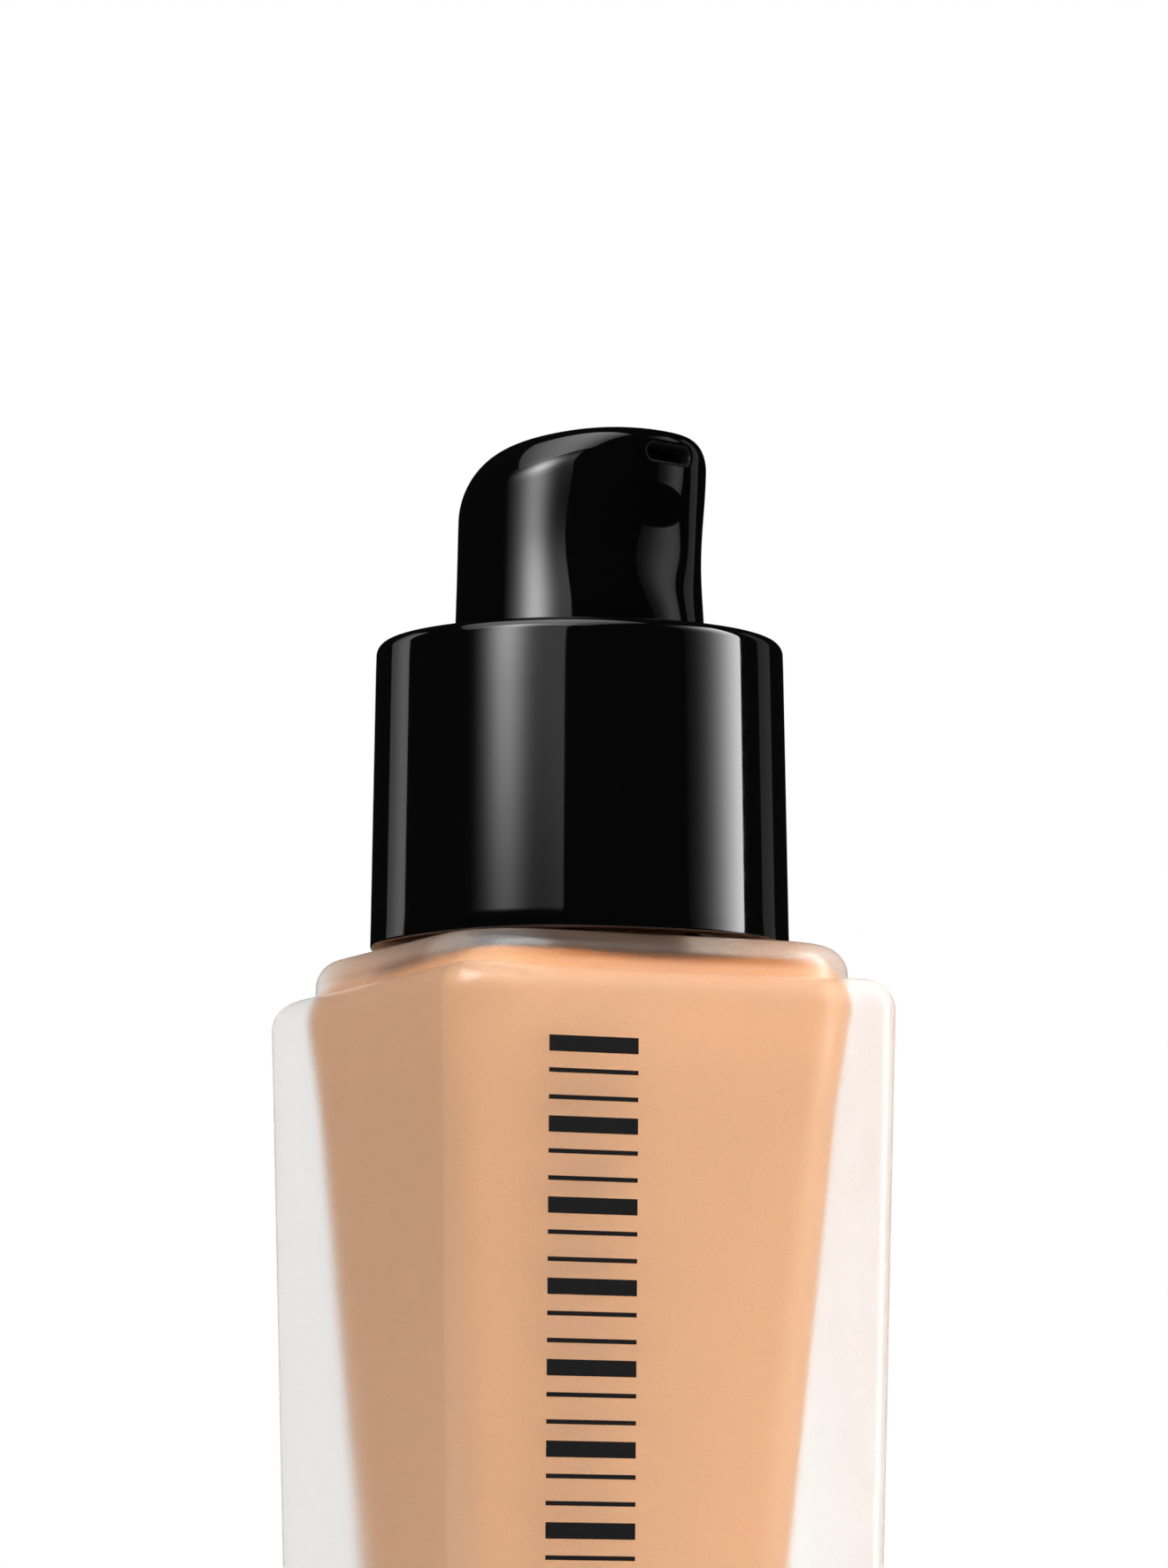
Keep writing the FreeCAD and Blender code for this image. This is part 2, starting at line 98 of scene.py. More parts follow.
class Graph:
    """A node tree, with short calls for adding and linking nodes."""

    def __init__(self, tree: bpy.types.NodeTree) -> None:
        """Takes the tree to work on."""
        self.tree = tree

    def add(self, kind: str, **values: object) -> bpy.types.Node:
        """Adds a node.

        Args:
            kind: The node's type name.
            **values: Attributes of the node to set.

        Returns:
            The new node.
        """
        node = self.tree.nodes.new(kind)
        for key, value in values.items():
            setattr(node, key, value)
        return node

    def link(self, source: bpy.types.NodeSocket, target: bpy.types.NodeSocket) -> None:
        """Links one socket to another."""
        self.tree.links.new(source, target)

    def maths(self, operation: str, first: object, second: object = 0.0) -> bpy.types.NodeSocket:
        """One Math node between two sockets or numbers."""
        node = self.add("ShaderNodeMath", operation=operation)
        for socket, value in zip(node.inputs, (first, second)):
            if isinstance(value, (int, float)):
                socket.default_value = value
            else:
                self.link(value, socket)
        return node.outputs[0]

    def mapped(self, value: bpy.types.NodeSocket, source: tuple[float, float],
               target: tuple[float, float] = (0.0, 1.0), way: str = "LINEAR") -> bpy.types.NodeSocket:
        """Maps one span of a value onto another, and holds it past both ends."""
        node = self.add("ShaderNodeMapRange", interpolation_type=way)
        names = ("From Min", "From Max", "To Min", "To Max")
        for name, number in zip(names, (*source, *target)):
            node.inputs[name].default_value = number
        self.link(value, node.inputs["Value"])
        return node.outputs["Result"]

    def ramp(self, value: bpy.types.NodeSocket, start: float, end: float) -> bpy.types.NodeSocket:
        """A smooth change from 0 to 1 as a value goes from start to end."""
        return self.mapped(value, (start, end), way="SMOOTHSTEP")


class Shader(Graph):
    """A node material under construction, with short calls for what the finishes share."""

    def __init__(self, name: str) -> None:
        """Starts a material with one Principled shader."""
        self.material = bpy.data.materials.new(name)
        self.material.use_nodes = True
        super().__init__(self.material.node_tree)
        self.principled = self.tree.nodes["Principled BSDF"]
        self.place = self.add("ShaderNodeTexCoord").outputs["Object"]

    def set(self, **values: object) -> None:
        """Sets plain values on the Principled shader; an underscore in a name stands for a space."""
        for key, value in values.items():
            self.principled.inputs[key.replace("_", " ")].default_value = value

    def feed(self, name: str, socket: bpy.types.NodeSocket) -> None:
        """Links a socket to an input of the Principled shader."""
        self.link(socket, self.principled.inputs[name])

    def scaled(self, scale: Point) -> bpy.types.NodeSocket:
        """The piece's own coordinates, multiplied along X, Y and Z."""
        mapping = self.add("ShaderNodeMapping")
        mapping.inputs["Scale"].default_value = scale
        self.link(self.place, mapping.inputs["Vector"])
        return mapping.outputs["Vector"]

    def noise(self, grain_m: float, detail: float = 2.0, stretch: Point = (1, 1, 1)) -> bpy.types.NodeSocket:
        """Noise on the piece's own coordinates.

        Args:
            grain_m: The size of its largest features, in metres.
            detail: Octaves of finer noise.
            stretch: Factors along X, Y and Z; a small one draws the grain out along that axis.

        Returns:
            The socket of its value, from 0 to 1.
        """
        node = self.add("ShaderNodeTexNoise")
        node.inputs["Scale"].default_value = 1 / grain_m
        node.inputs["Detail"].default_value = detail
        self.link(self.scaled(stretch), node.inputs["Vector"])
        return node.outputs["Fac"]

    def ranged(self, value: bpy.types.NodeSocket, low: float, high: float) -> bpy.types.NodeSocket:
        """Maps the middle of a noise onto the range from low to high."""
        return self.mapped(value, NOISE_MIDDLE, (low, high))

    def from_axis(self) -> bpy.types.NodeSocket:
        """The distance from the upright axis of the object, in metres."""
        length = self.add("ShaderNodeVectorMath", operation="LENGTH")
        self.link(self.scaled((1, 1, 0)), length.inputs[0])
        return length.outputs["Value"]

    def mixed(self, value: bpy.types.NodeSocket, first: Point, second: Point) -> bpy.types.NodeSocket:
        """A colour between two, by a value from 0 to 1."""
        node = self.add("ShaderNodeMix", data_type="RGBA")
        node.inputs["A"].default_value = (*first, 1)
        node.inputs["B"].default_value = (*second, 1)
        self.link(value, node.inputs["Factor"])
        return node.outputs["Result"]

    def bump(self, height: bpy.types.NodeSocket, depth_m: float, strength: float = 1.0) -> None:
        """Raises the surface by a height field."""
        node = self.add("ShaderNodeBump")
        node.inputs["Distance"].default_value = depth_m
        node.inputs["Strength"].default_value = strength
        self.link(height, node.inputs["Height"])
        self.feed("Normal", node.outputs["Normal"])


@dataclass(frozen=True)
class Plastic:
    """A moulded plastic: nearly even in colour, with a faint moulding texture."""

    name: str
    colour: Point
    shade: Point
    roughness: tuple[float, float]
    texture_depth_mm: float
    translucent: float = 0.0

    def make(self) -> bpy.types.Material:
        """Builds the material."""
        shader = Shader(self.name)
        shader.set(IOR=1.5, Transmission_Weight=self.translucent)
        shader.feed("Base Color", shader.mixed(shader.noise(6 * MM), self.colour, self.shade))
        shader.feed("Roughness", shader.ranged(shader.noise(1.5 * MM, 3), *self.roughness))
        shader.bump(shader.noise(0.5 * MM, 3), self.texture_depth_mm * MM, 0.4)
        return shader.material


@dataclass(frozen=True)
class GlossBlack:
    """Polished black plastic, with the long faint waves that moulding leaves under its gloss."""

    colour: Point = (0.0010, 0.0010, 0.0011)
    roughness: tuple[float, float] = (0.035, 0.065)
    wave_depth_mm: float = 0.004

    def make(self) -> bpy.types.Material:
        """Builds the material."""
        shader = Shader("gloss_black_plastic")
        shader.set(Base_Color=(*self.colour, 1), IOR=1.5)
        shader.feed("Roughness", shader.ranged(shader.noise(1.2 * MM, 4), *self.roughness))
        shader.bump(shader.noise(9 * MM, 1), self.wave_depth_mm * MM, 0.5)
        return shader.material


@dataclass(frozen=True)
class FrostedGlass:
    """Acid-frosted glass: clear in its depth, with a fine sparkling grain on its surface; its platform is
    painted a shaded tan, standing in for the fluid seen through it and the collar's shadow.
    """

    tint: Point = (0.985, 0.985, 0.975)
    roughness: tuple[float, float] = (0.48, 0.54)
    grain_mm: float = 0.22
    grain_depth_mm: float = 0.08
    bend: float = 1.08
    clear: float = 0.95
    sheen: float = 0.8
    sheen_roughness: float = 0.22
    # painted shade: a darkened tan laid on the platform's glass, standing in for the fluid seen through it
    # and the shadow under the collar
    painted_shade_tint: Point = (0.66, 0.47, 0.35)
    painted_shade_levels: tuple[float, float] = (72.2, 72.8)
    painted_shade_reach: tuple[float, float] = (20.0, 18.0)

    def make(self) -> bpy.types.Material:
        """Builds the material."""
        shader = Shader("frosted_glass")
        shader.set(IOR=self.bend, Transmission_Weight=self.clear)
        shader.set(Coat_Weight=self.sheen, Coat_Roughness=self.sheen_roughness)
        # the base colour turns from the glass's own tint to the painted shade over the platform
        shader.feed("Base Color", shader.mixed(self.painted_shade_share(shader), self.tint, self.painted_shade_tint))
        shader.feed("Roughness", shader.ranged(shader.noise(4 * MM, 3), *self.roughness))
        shader.bump(shader.noise(self.grain_mm * MM, 4), self.grain_depth_mm * MM)
        return shader.material

    def painted_shade_share(self, shader: Shader) -> bpy.types.NodeSocket:
        """How far the platform is painted a shaded tan, standing in for the fluid seen through its glass and
        the shadow under the collar: fully, but for its corners.
        """
        split = shader.add("ShaderNodeSeparateXYZ")
        shader.link(shader.place, split.inputs["Vector"])
        above = shader.ramp(split.outputs["Z"], *(z * MM for z in self.painted_shade_levels))
        inside = shader.ramp(shader.from_axis(), *(r * MM for r in self.painted_shade_reach))
        return shader.maths("MULTIPLY", above, inside)


@dataclass(frozen=True)
class Fluid:
    """Creamy foundation: an even tan with the faintest drift of pigment."""

    colour: Point = (0.54, 0.26, 0.105)
    deep: Point = (0.52, 0.25, 0.1)

    def make(self) -> bpy.types.Material:
        """Builds the material."""
        shader = Shader("foundation_fluid")
        shader.set(IOR=1.42)
        drift = shader.ranged(shader.noise(9 * MM, 3, (1, 1, 0.4)), 0, 1)
        shader.feed("Base Color", shader.mixed(drift, self.colour, self.deep))
        shader.feed("Roughness", shader.ranged(shader.noise(2 * MM, 2), 0.32, 0.42))
        return shader.material


@dataclass(frozen=True)
class Steel:
    """Drawn, lightly oiled steel with fine lines along it."""

    colour: Point = (0.60, 0.60, 0.61)
    roughness: tuple[float, float] = (0.16, 0.30)

    def make(self) -> bpy.types.Material:
        """Builds the material."""
        shader = Shader("drawn_steel")
        shader.set(Base_Color=(*self.colour, 1), Metallic=1.0)
        shader.feed("Roughness", shader.ranged(shader.noise(0.2 * MM, 3, (1, 1, 0.2)), *self.roughness))
        return shader.material


@dataclass(frozen=True)
class Ink:
    """Screen-printed black ink, slightly uneven at its finest scale."""

    colour: Point = (0.0020, 0.0018, 0.0020)

    def make(self) -> bpy.types.Material:
        """Builds the material."""
        shader = Shader("print_ink")
        shader.set(IOR=1.3)
        grain = shader.ranged(shader.noise(0.12 * MM, 2), 0, 1)
        shader.feed("Base Color", shader.mixed(grain, self.colour, tuple(3 * c for c in self.colour)))
        shader.feed("Roughness", shader.ranged(shader.noise(0.3 * MM, 2), 0.50, 0.62))
        return shader.material


@dataclass(frozen=True)
class FloorPaint:
    """The plain pale floor of the studio, which melts into the white round it."""

    colour: Point = (0.80, 0.80, 0.80)
    full_to: float = 0.10
    gone_at: float = 0.30

    def make(self) -> bpy.types.Material:
        """Builds the material."""
        shader = Shader("studio_floor")
        shader.set(Roughness=0.7)
        shade = tuple(0.985 * c for c in self.colour)
        shader.feed("Base Color", shader.mixed(shader.noise(60 * MM, 3), self.colour, shade))
        shader.feed("Alpha", shader.ramp(shader.from_axis(), self.gone_at, self.full_to))
        return shader.material


class Finishes:
    """All finishes of the object, each built once and found by material slot."""

    def __init__(self) -> None:
        """Builds every material."""
        white = (0.80, 0.80, 0.77)
        finishes = {
            Slot.GLASS: FrostedGlass(),
            Slot.FLUID: Fluid(),
            Slot.BLACK: GlossBlack(),
            Slot.INNER: Plastic("satin_black_plastic", (0.006,) * 3, (0.008,) * 3, (0.28, 0.38), 0.01),
            Slot.NATURAL: Plastic("natural_plastic", white, (0.76, 0.76, 0.73), (0.30, 0.42), 0.01, 0.25),
            Slot.TUBE: Plastic("tube_plastic", (0.86, 0.86, 0.84), white, (0.22, 0.32), 0.005, 0.55),
            Slot.SEAL: Plastic("soft_seal", (0.72, 0.72, 0.69), (0.68, 0.68, 0.65), (0.5, 0.62), 0.02),
            Slot.STEEL: Steel(),
        }
        self.by_slot = {slot: finish.make() for slot, finish in finishes.items()}
        self.ink = Ink().make()

    def dress(self, piece: bpy.types.Object, slot: Slot) -> bpy.types.Object:
        """Gives a piece the finish of a slot, and only that, and returns it."""
        piece.data.materials.clear()
        piece.data.materials.append(self.by_slot[slot])
        return piece


# ---------------------------------------------------------------- mesh tools


def smoothed(mesh: bpy.types.Mesh) -> None:
    """Shades a mesh smooth, but for the edges that turn sharply."""
    mesh.polygons.foreach_set("use_smooth", [True] * len(mesh.polygons))
    mesh.set_sharp_from_angle(angle=math.radians(SHARP_DEG))


def mesh_piece(name: str, points: np.ndarray, faces: list[tuple[int, ...]]) -> bpy.types.Object:
    """Makes a smooth-shaded mesh object at the origin, with outward faces.

    Args:
        name: The piece's name.
        points: Its vertices, in metres.
        faces: Its faces, as vertex numbers.

    Returns:
        The new object, linked to the scene.
    """
    mesh = bpy.data.meshes.new(name)
    mesh.from_pydata([tuple(p) for p in points], [], faces)
    mesh.validate()
    smoothed(mesh)
    piece = bpy.data.objects.new(name, mesh)
    bpy.context.scene.collection.objects.link(piece)
    return piece


def lofted(name: str, rings: list[Ring], closed: bool = False) -> bpy.types.Object:
    """Skins a list of rings that hold the same number of points.

    Args:
        name: The piece's name.
        rings: The rings, each (n, 3), run so that the skin's outside is on the right of their path.
        closed: True where the last ring joins the first, as on a tube's wall; otherwise each end
            closes on its centre.

    Returns:
        The new object.
    """
    count = len(rings[0])
    points = np.concatenate(rings)
    faces = []
    spans = len(rings) if closed else len(rings) - 1
    for row in range(spans):
        low = row * count
        high = (row + 1) % len(rings) * count
        for i in range(count):
            j = (i + 1) % count
            faces.append((low + i, low + j, high + j, high + i))
    if not closed:
        ends = [rings[0].mean(0), rings[-1].mean(0)]
        points = np.concatenate([points, ends])
        first, last = len(points) - 2, len(points) - 1
        top = (len(rings) - 1) * count
        for i in range(count):
            j = (i + 1) % count
            faces.append((first, j, i))
            faces.append((last, top + i, top + j))
    return mesh_piece(name, points, faces)


def arc(centre: tuple[float, float], radius: float, start: float, end: float,
        steps: int) -> list[tuple[float, float]]:
    """Points on an arc in an (r, z) outline, both ends included; angles are in degrees from +r."""
    turns = np.radians(np.linspace(start, end, steps + 1))
    return [(centre[0] + radius * math.cos(t), centre[1] + radius * math.sin(t)) for t in turns]


def bezier(share: float, *points: np.ndarray | float) -> np.ndarray:
    """A point on the cubic curve of four points, at a share of the way along it."""
    first, second, third, last = points
    rest = 1 - share
    return rest**3 * first + 3 * rest**2 * share * second + 3 * rest * share**2 * third + share**3 * last


def turned(name: str, outline: list[tuple[float, float]], segments: int) -> bpy.types.Object:
    """Turns a closed (r, z) outline in millimetres about the Z axis."""
    turns = np.linspace(0, 2 * math.pi, segments, endpoint=False)
    circle = np.stack([np.cos(turns), np.sin(turns)], 1)
    rings = []
    for radius, z in outline:
        rings.append(np.column_stack([circle * radius, np.full(segments, z)]) * MM)
    return lofted(name, rings, closed=True)


def baked(piece: bpy.types.Object) -> bpy.types.Object:
    """Applies a piece's modifiers, so that its mesh is plain."""
    graph = bpy.context.evaluated_depsgraph_get()
    mesh = bpy.data.meshes.new_from_object(piece.evaluated_get(graph))
    piece.modifiers.clear()
    old = piece.data
    piece.data = mesh
    mesh.name = piece.name
    bpy.data.meshes.remove(old)
    return piece


def placed(piece: bpy.types.Object, body: Body, slot: Slot, *nodes: str) -> bpy.types.Object:
    """Rides a finished piece on its body, hides the imported nodes that it stands for, and logs its faces."""
    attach(piece, body.value)
    if nodes:
        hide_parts(*nodes)
    LOG.info("%s: %d faces on %s", piece.name, len(piece.data.polygons), body.value)
    return piece


# ---------------------------------------------------------------- bottle


@dataclass
class RoundedSquare:
    """A square section with rounded corners, read along fixed directions from its centre."""

    half: float
    corner: float

    def reach(self, turns: np.ndarray) -> np.ndarray:
        """The distance from the centre to the outline in each direction, given in radians."""
        across = np.abs(np.cos(turns))
        along = np.abs(np.sin(turns))
        inner = self.half - self.corner
        dot = inner * (across + along)
        round_part = dot + np.sqrt(np.maximum(dot**2 - 2 * inner**2 + self.corner**2, 0))
        flat_part = self.half / np.maximum(across, along)
        on_flat = np.minimum(across, along) * flat_part <= inner
        return np.where(on_flat, flat_part, round_part)

    def depth(self, x: np.ndarray, y: np.ndarray) -> np.ndarray:
        """How far inside the outline each point is."""
        inner = self.half - self.corner
        dx = np.abs(x) - inner
        dy = np.abs(y) - inner
        outside = np.hypot(np.maximum(dx, 0), np.maximum(dy, 0))
        inside = np.minimum(np.maximum(dx, dy), 0)
        return self.corner - outside - inside

    def inset(self, by: float) -> "RoundedSquare":
        """The outline that lies evenly inside this one."""
        return RoundedSquare(self.half - by, max(self.corner - by, 0.25))


@dataclass
class Bottle:
    """The glass, its fluid and the print, all in millimetres until the rings are made."""

    finishes: Finishes
    body_half: float = 17.75
    taper: float = 0.019
    body_top: float = 72.0
    corner: float = 2.2
    shoulder: float = 2.25
    base_round: float = 1.8
    recess: tuple[float, float] = (11.5, 0.8)
    recess_slope: float = 2.6
    hub: float = 2.0
    step_half: float = 16.4
    step_corner: float = 7.1
    step_round: float = 2.1
    step_rise: float = 2.6
    neck: float = 7.8
    neck_round: float = 0.5
    bore: float = 5.4
    bore_round: float = 0.3
    floor: float = 9.0
    ceiling: float = 73.4
    well_halves: tuple[float, float] = (10.5, 15.8)
    well_corner: float = 4.5
    well_floor_round: float = 4.0
    well_top_round: float = 3.5
    throat: tuple[float, float] = (8.2, 75.6)
    fill: float = 74.6
    wetting: float = 0.03
    dips: tuple[tuple[float, float], ...] = ((5.0, 62.2), (2.8, 56.7), (1.8, 10.2))
    turns: np.ndarray = field(init=False)

    def __post_init__(self) -> None:
        """Spreads the directions of every ring, closest together at the corners."""
        spread = ((0, 30, 6), (30, 41, 8), (41, 49, 24), (49, 60, 8), (60, 90, 6))
        quarter = np.concatenate([np.linspace(a, b, n, endpoint=False) for a, b, n in spread])
        self.turns = np.radians(np.concatenate([quarter + 90 * k for k in range(4)]))

    @property
    def step_top(self) -> float:
        """The level of the glass platform."""
        return self.body_top + self.step_rise

    @property
    def neck_top(self) -> float:
        """The level of the neck's rim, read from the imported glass."""
        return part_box("bottle_glass")[1].z / MM

    def ring(self, reach: np.ndarray | float, z: np.ndarray | float) -> Ring:
        """A ring in metres from a distance and a level for each direction."""
        reach = np.broadcast_to(reach, self.turns.shape)
        z = np.broadcast_to(z, self.turns.shape)
        return np.column_stack([reach * np.cos(self.turns), reach * np.sin(self.turns), z]) * MM

    def square(self, section: RoundedSquare, z: float) -> Ring:
        """A rounded-square ring at one level."""
        return self.ring(section.reach(self.turns), z)

    def section(self, z: float) -> RoundedSquare:
        """The body's outside section at a level."""
        return RoundedSquare(self.body_half - self.taper * (self.body_top - z), self.corner)

    def base_rings(self) -> list[Ring]:
        """From the centre of the base recess out and round to the foot of the walls."""
        wide, deep = self.recess
        flat = wide - self.recess_slope
        rings = [self.ring(r, deep) for r in (self.hub, 3 * self.hub, flat - 0.6)]
        for share in np.linspace(0, 1, 9):
            height = deep * (0.5 + 0.5 * math.cos(math.pi * share))
            rings.append(self.ring(flat + self.recess_slope * share, height))
        foot = self.section(0)
        for angle in np.radians(np.linspace(0, 90, 9)):
            inset = self.base_round * (1 - math.sin(angle))
            rings.append(self.square(foot.inset(inset), self.base_round * (1 - math.cos(angle))))
        return rings

    def wall_rings(self) -> list[Ring]:
        """The four flat walls, up to where the shoulder begins to round."""
        top = self.body_top - self.shoulder
        levels = np.linspace(self.base_round, top, 12)[1:-1]
        return [self.square(self.section(z), z) for z in levels]

    def shoulder_rings(self) -> list[Ring]:
        """The rounded shoulder and the ledge, ending where the platform's wall stands on it."""
        body = self.section(self.body_top - self.shoulder)
        step = RoundedSquare(self.step_half, self.step_corner).reach(self.turns)
        edge = body.reach(self.turns)
        stop = body.depth(step * np.cos(self.turns), step * np.sin(self.turns))
        last = np.arccos(np.clip(1 - stop / self.shoulder, 0, 1))
        rings = []
        for share in np.linspace(0, 1, 13):
            angle = last * share
            depth = self.shoulder * (1 - np.cos(angle))
            part = np.where(stop > 1e-6, depth / np.maximum(np.minimum(stop, self.shoulder), 1e-6), share)
            limit = np.where(stop > self.shoulder, self.reach_at(body, self.shoulder, edge), step)
            rings.append(self.ring(edge + (limit - edge) * part,
                                   self.body_top - self.shoulder + self.shoulder * np.sin(angle)))
        rings.append(self.ring(step + 0.02, self.body_top - self.shoulder + self.shoulder * np.sin(last)))
        return rings

    def reach_at(self, body: RoundedSquare, depth: float, edge: np.ndarray) -> np.ndarray:
        """The distance in each direction to the line that lies at a depth inside the body's outline."""
        near = np.zeros_like(edge)
        far = edge.copy()
        for _ in range(30):
            middle = (near + far) / 2
            inside = body.depth(middle * np.cos(self.turns), middle * np.sin(self.turns)) > depth
            near = np.where(inside, middle, near)
            far = np.where(inside, far, middle)
        return near

    def platform_rings(self) -> list[Ring]:
        """The platform's short wall, its fully rounded edge and its flat top."""
        step = RoundedSquare(self.step_half, self.step_corner)
        rings = []
        for angle in np.radians(np.linspace(0, 90, 15)):
            inset = self.step_round * (1 - math.cos(angle))
            z = self.step_top - self.step_round * (1 - math.sin(angle))
            rings.append(self.square(step.inset(inset), z))
        return rings

    def neck_rings(self) -> list[Ring]:
        """The neck, its rim and the start of the bore."""
        neck, bore, rim, foot = self.neck, self.bore, self.neck_top, self.step_top
        outer, inner = self.neck_round, self.bore_round
        path = [(neck + outer + 0.3, foot)]
        path += arc((neck + outer, foot + outer), outer, 270, 180, 4)
        path += arc((neck - outer, rim - outer), outer, 0, 90, 5)
        path += arc((bore + inner, rim - inner), inner, 90, 180, 4)
        return [self.ring(r, z) for r, z in path]

    def well_rings(self, grow: float) -> list[Ring]:
        """The well from its bore's foot down to its floor.

        Args:
            grow: How far the rings stand outside the well's wall.

        Returns:
            The rings, from the top down.
        """
        low, high = self.well_halves
        rings = []
        foot, peak = self.throat
        top_z = peak if grow == 0 else self.fill
        for share in np.linspace(0, 1, 6):
            z = top_z + (self.ceiling + grow - top_z) * share
            wide = self.bore + (foot - self.bore) * (peak - z) / (peak - self.ceiling)
            rings.append(self.ring(wide + grow, z))
        top = self.well_top_round
        for angle in np.radians(np.linspace(90, 0, 9)):
            section = RoundedSquare(high + grow, self.well_corner + grow)
            rings.append(self.square(section.inset((top + grow) * (1 - math.cos(angle))),
                                     self.ceiling - top + (top + grow) * math.sin(angle)))
        bowl = self.well_floor_round
        span = self.ceiling - self.floor
        for z in np.linspace(self.ceiling - top, self.floor + bowl, 10)[1:-1]:
            half = low + (high - low) * (z - self.floor) / span
            rings.append(self.square(RoundedSquare(half + grow, self.well_corner + grow), z))
        half = low + (high - low) * bowl / span
        for angle in np.radians(np.linspace(0, 84, 11)):
            section = RoundedSquare(half + grow, self.well_corner + grow)
            rings.append(self.square(section.inset((bowl + grow) * (1 - math.cos(angle))),
                                     self.floor + bowl - (bowl + grow) * math.sin(angle)))
        return rings

    def make_glass(self) -> bpy.types.Object:
        """The whole glass as one closed skin, from the base outside to the well's floor."""
        rings = self.base_rings() + self.wall_rings() + self.shoulder_rings() + self.platform_rings()
        rings += self.neck_rings() + self.well_rings(0.0)
        rings.append(self.ring(self.hub, self.floor))
        glass = self.finishes.dress(lofted("frosted_bottle", rings), Slot.GLASS)
        return placed(glass, Body.BOTTLE, Slot.GLASS, "bottle_glass")

    def make_fluid(self) -> bpy.types.Object:
        """The fluid, wetting the well all over, with room for the pump's dipping parts."""
        rings = []
        for radius, bottom in reversed(self.dips):
            above = [d for d in self.dips if d[0] > radius]
            top = above[-1][1] if above else self.fill
            rings.append(self.ring(radius, bottom))
            rings.append(self.ring(radius, top))
        rings += self.well_rings(self.wetting)
        rings.append(self.ring(self.hub, self.floor - self.wetting))
        fluid = self.finishes.dress(lofted("foundation_fluid", rings), Slot.FLUID)
        return placed(fluid, Body.BOTTLE, Slot.FLUID, "foundation_liquid")

    def make(self) -> list[bpy.types.Object]:
        """Builds and returns the glass and the fluid."""
        return [self.make_glass(), self.make_fluid()]


# ---------------------------------------------------------------- collar and head


@dataclass
class Collar:
    """The tall gloss black collar, in millimetres."""

    finishes: Finishes
    foot_radius: float = 15.28
    top_radius: float = 14.88
    hole: float = 9.3
    wall: float = 1.2
    roof: float = 1.4
    edge: float = 0.9
    foot_edge: float = 0.25
    rim_edge: float = 0.3
    segments: int = 256

    def make(self) -> None:
        """Turns the collar's wall from one closed outline."""
        low, high = (corner.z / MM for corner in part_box("collar_shell"))
        inner = self.top_radius - self.wall
        ceiling = high - self.roof
        lean = (self.foot_radius - self.top_radius) / (high - low)
        outline = arc((self.foot_radius - self.foot_edge, low + self.foot_edge), self.foot_edge, -90, 0, 5)
        for z in np.linspace(low + 1.5, high - 2.0, 8):
            outline.append((self.foot_radius - lean * (z - low), z))
        outline += arc((self.top_radius - self.edge, high - self.edge), self.edge, 0, 90, 12)
        outline += arc((self.hole + self.rim_edge, high - self.rim_edge), self.rim_edge, 90, 180, 6)
        outline += [(self.hole, ceiling), (inner, ceiling), (inner, low)]
        collar = turned("gloss_collar", outline, self.segments)
        placed(self.finishes.dress(collar, Slot.BLACK), Body.CLOSURE, Slot.BLACK, "collar_shell")


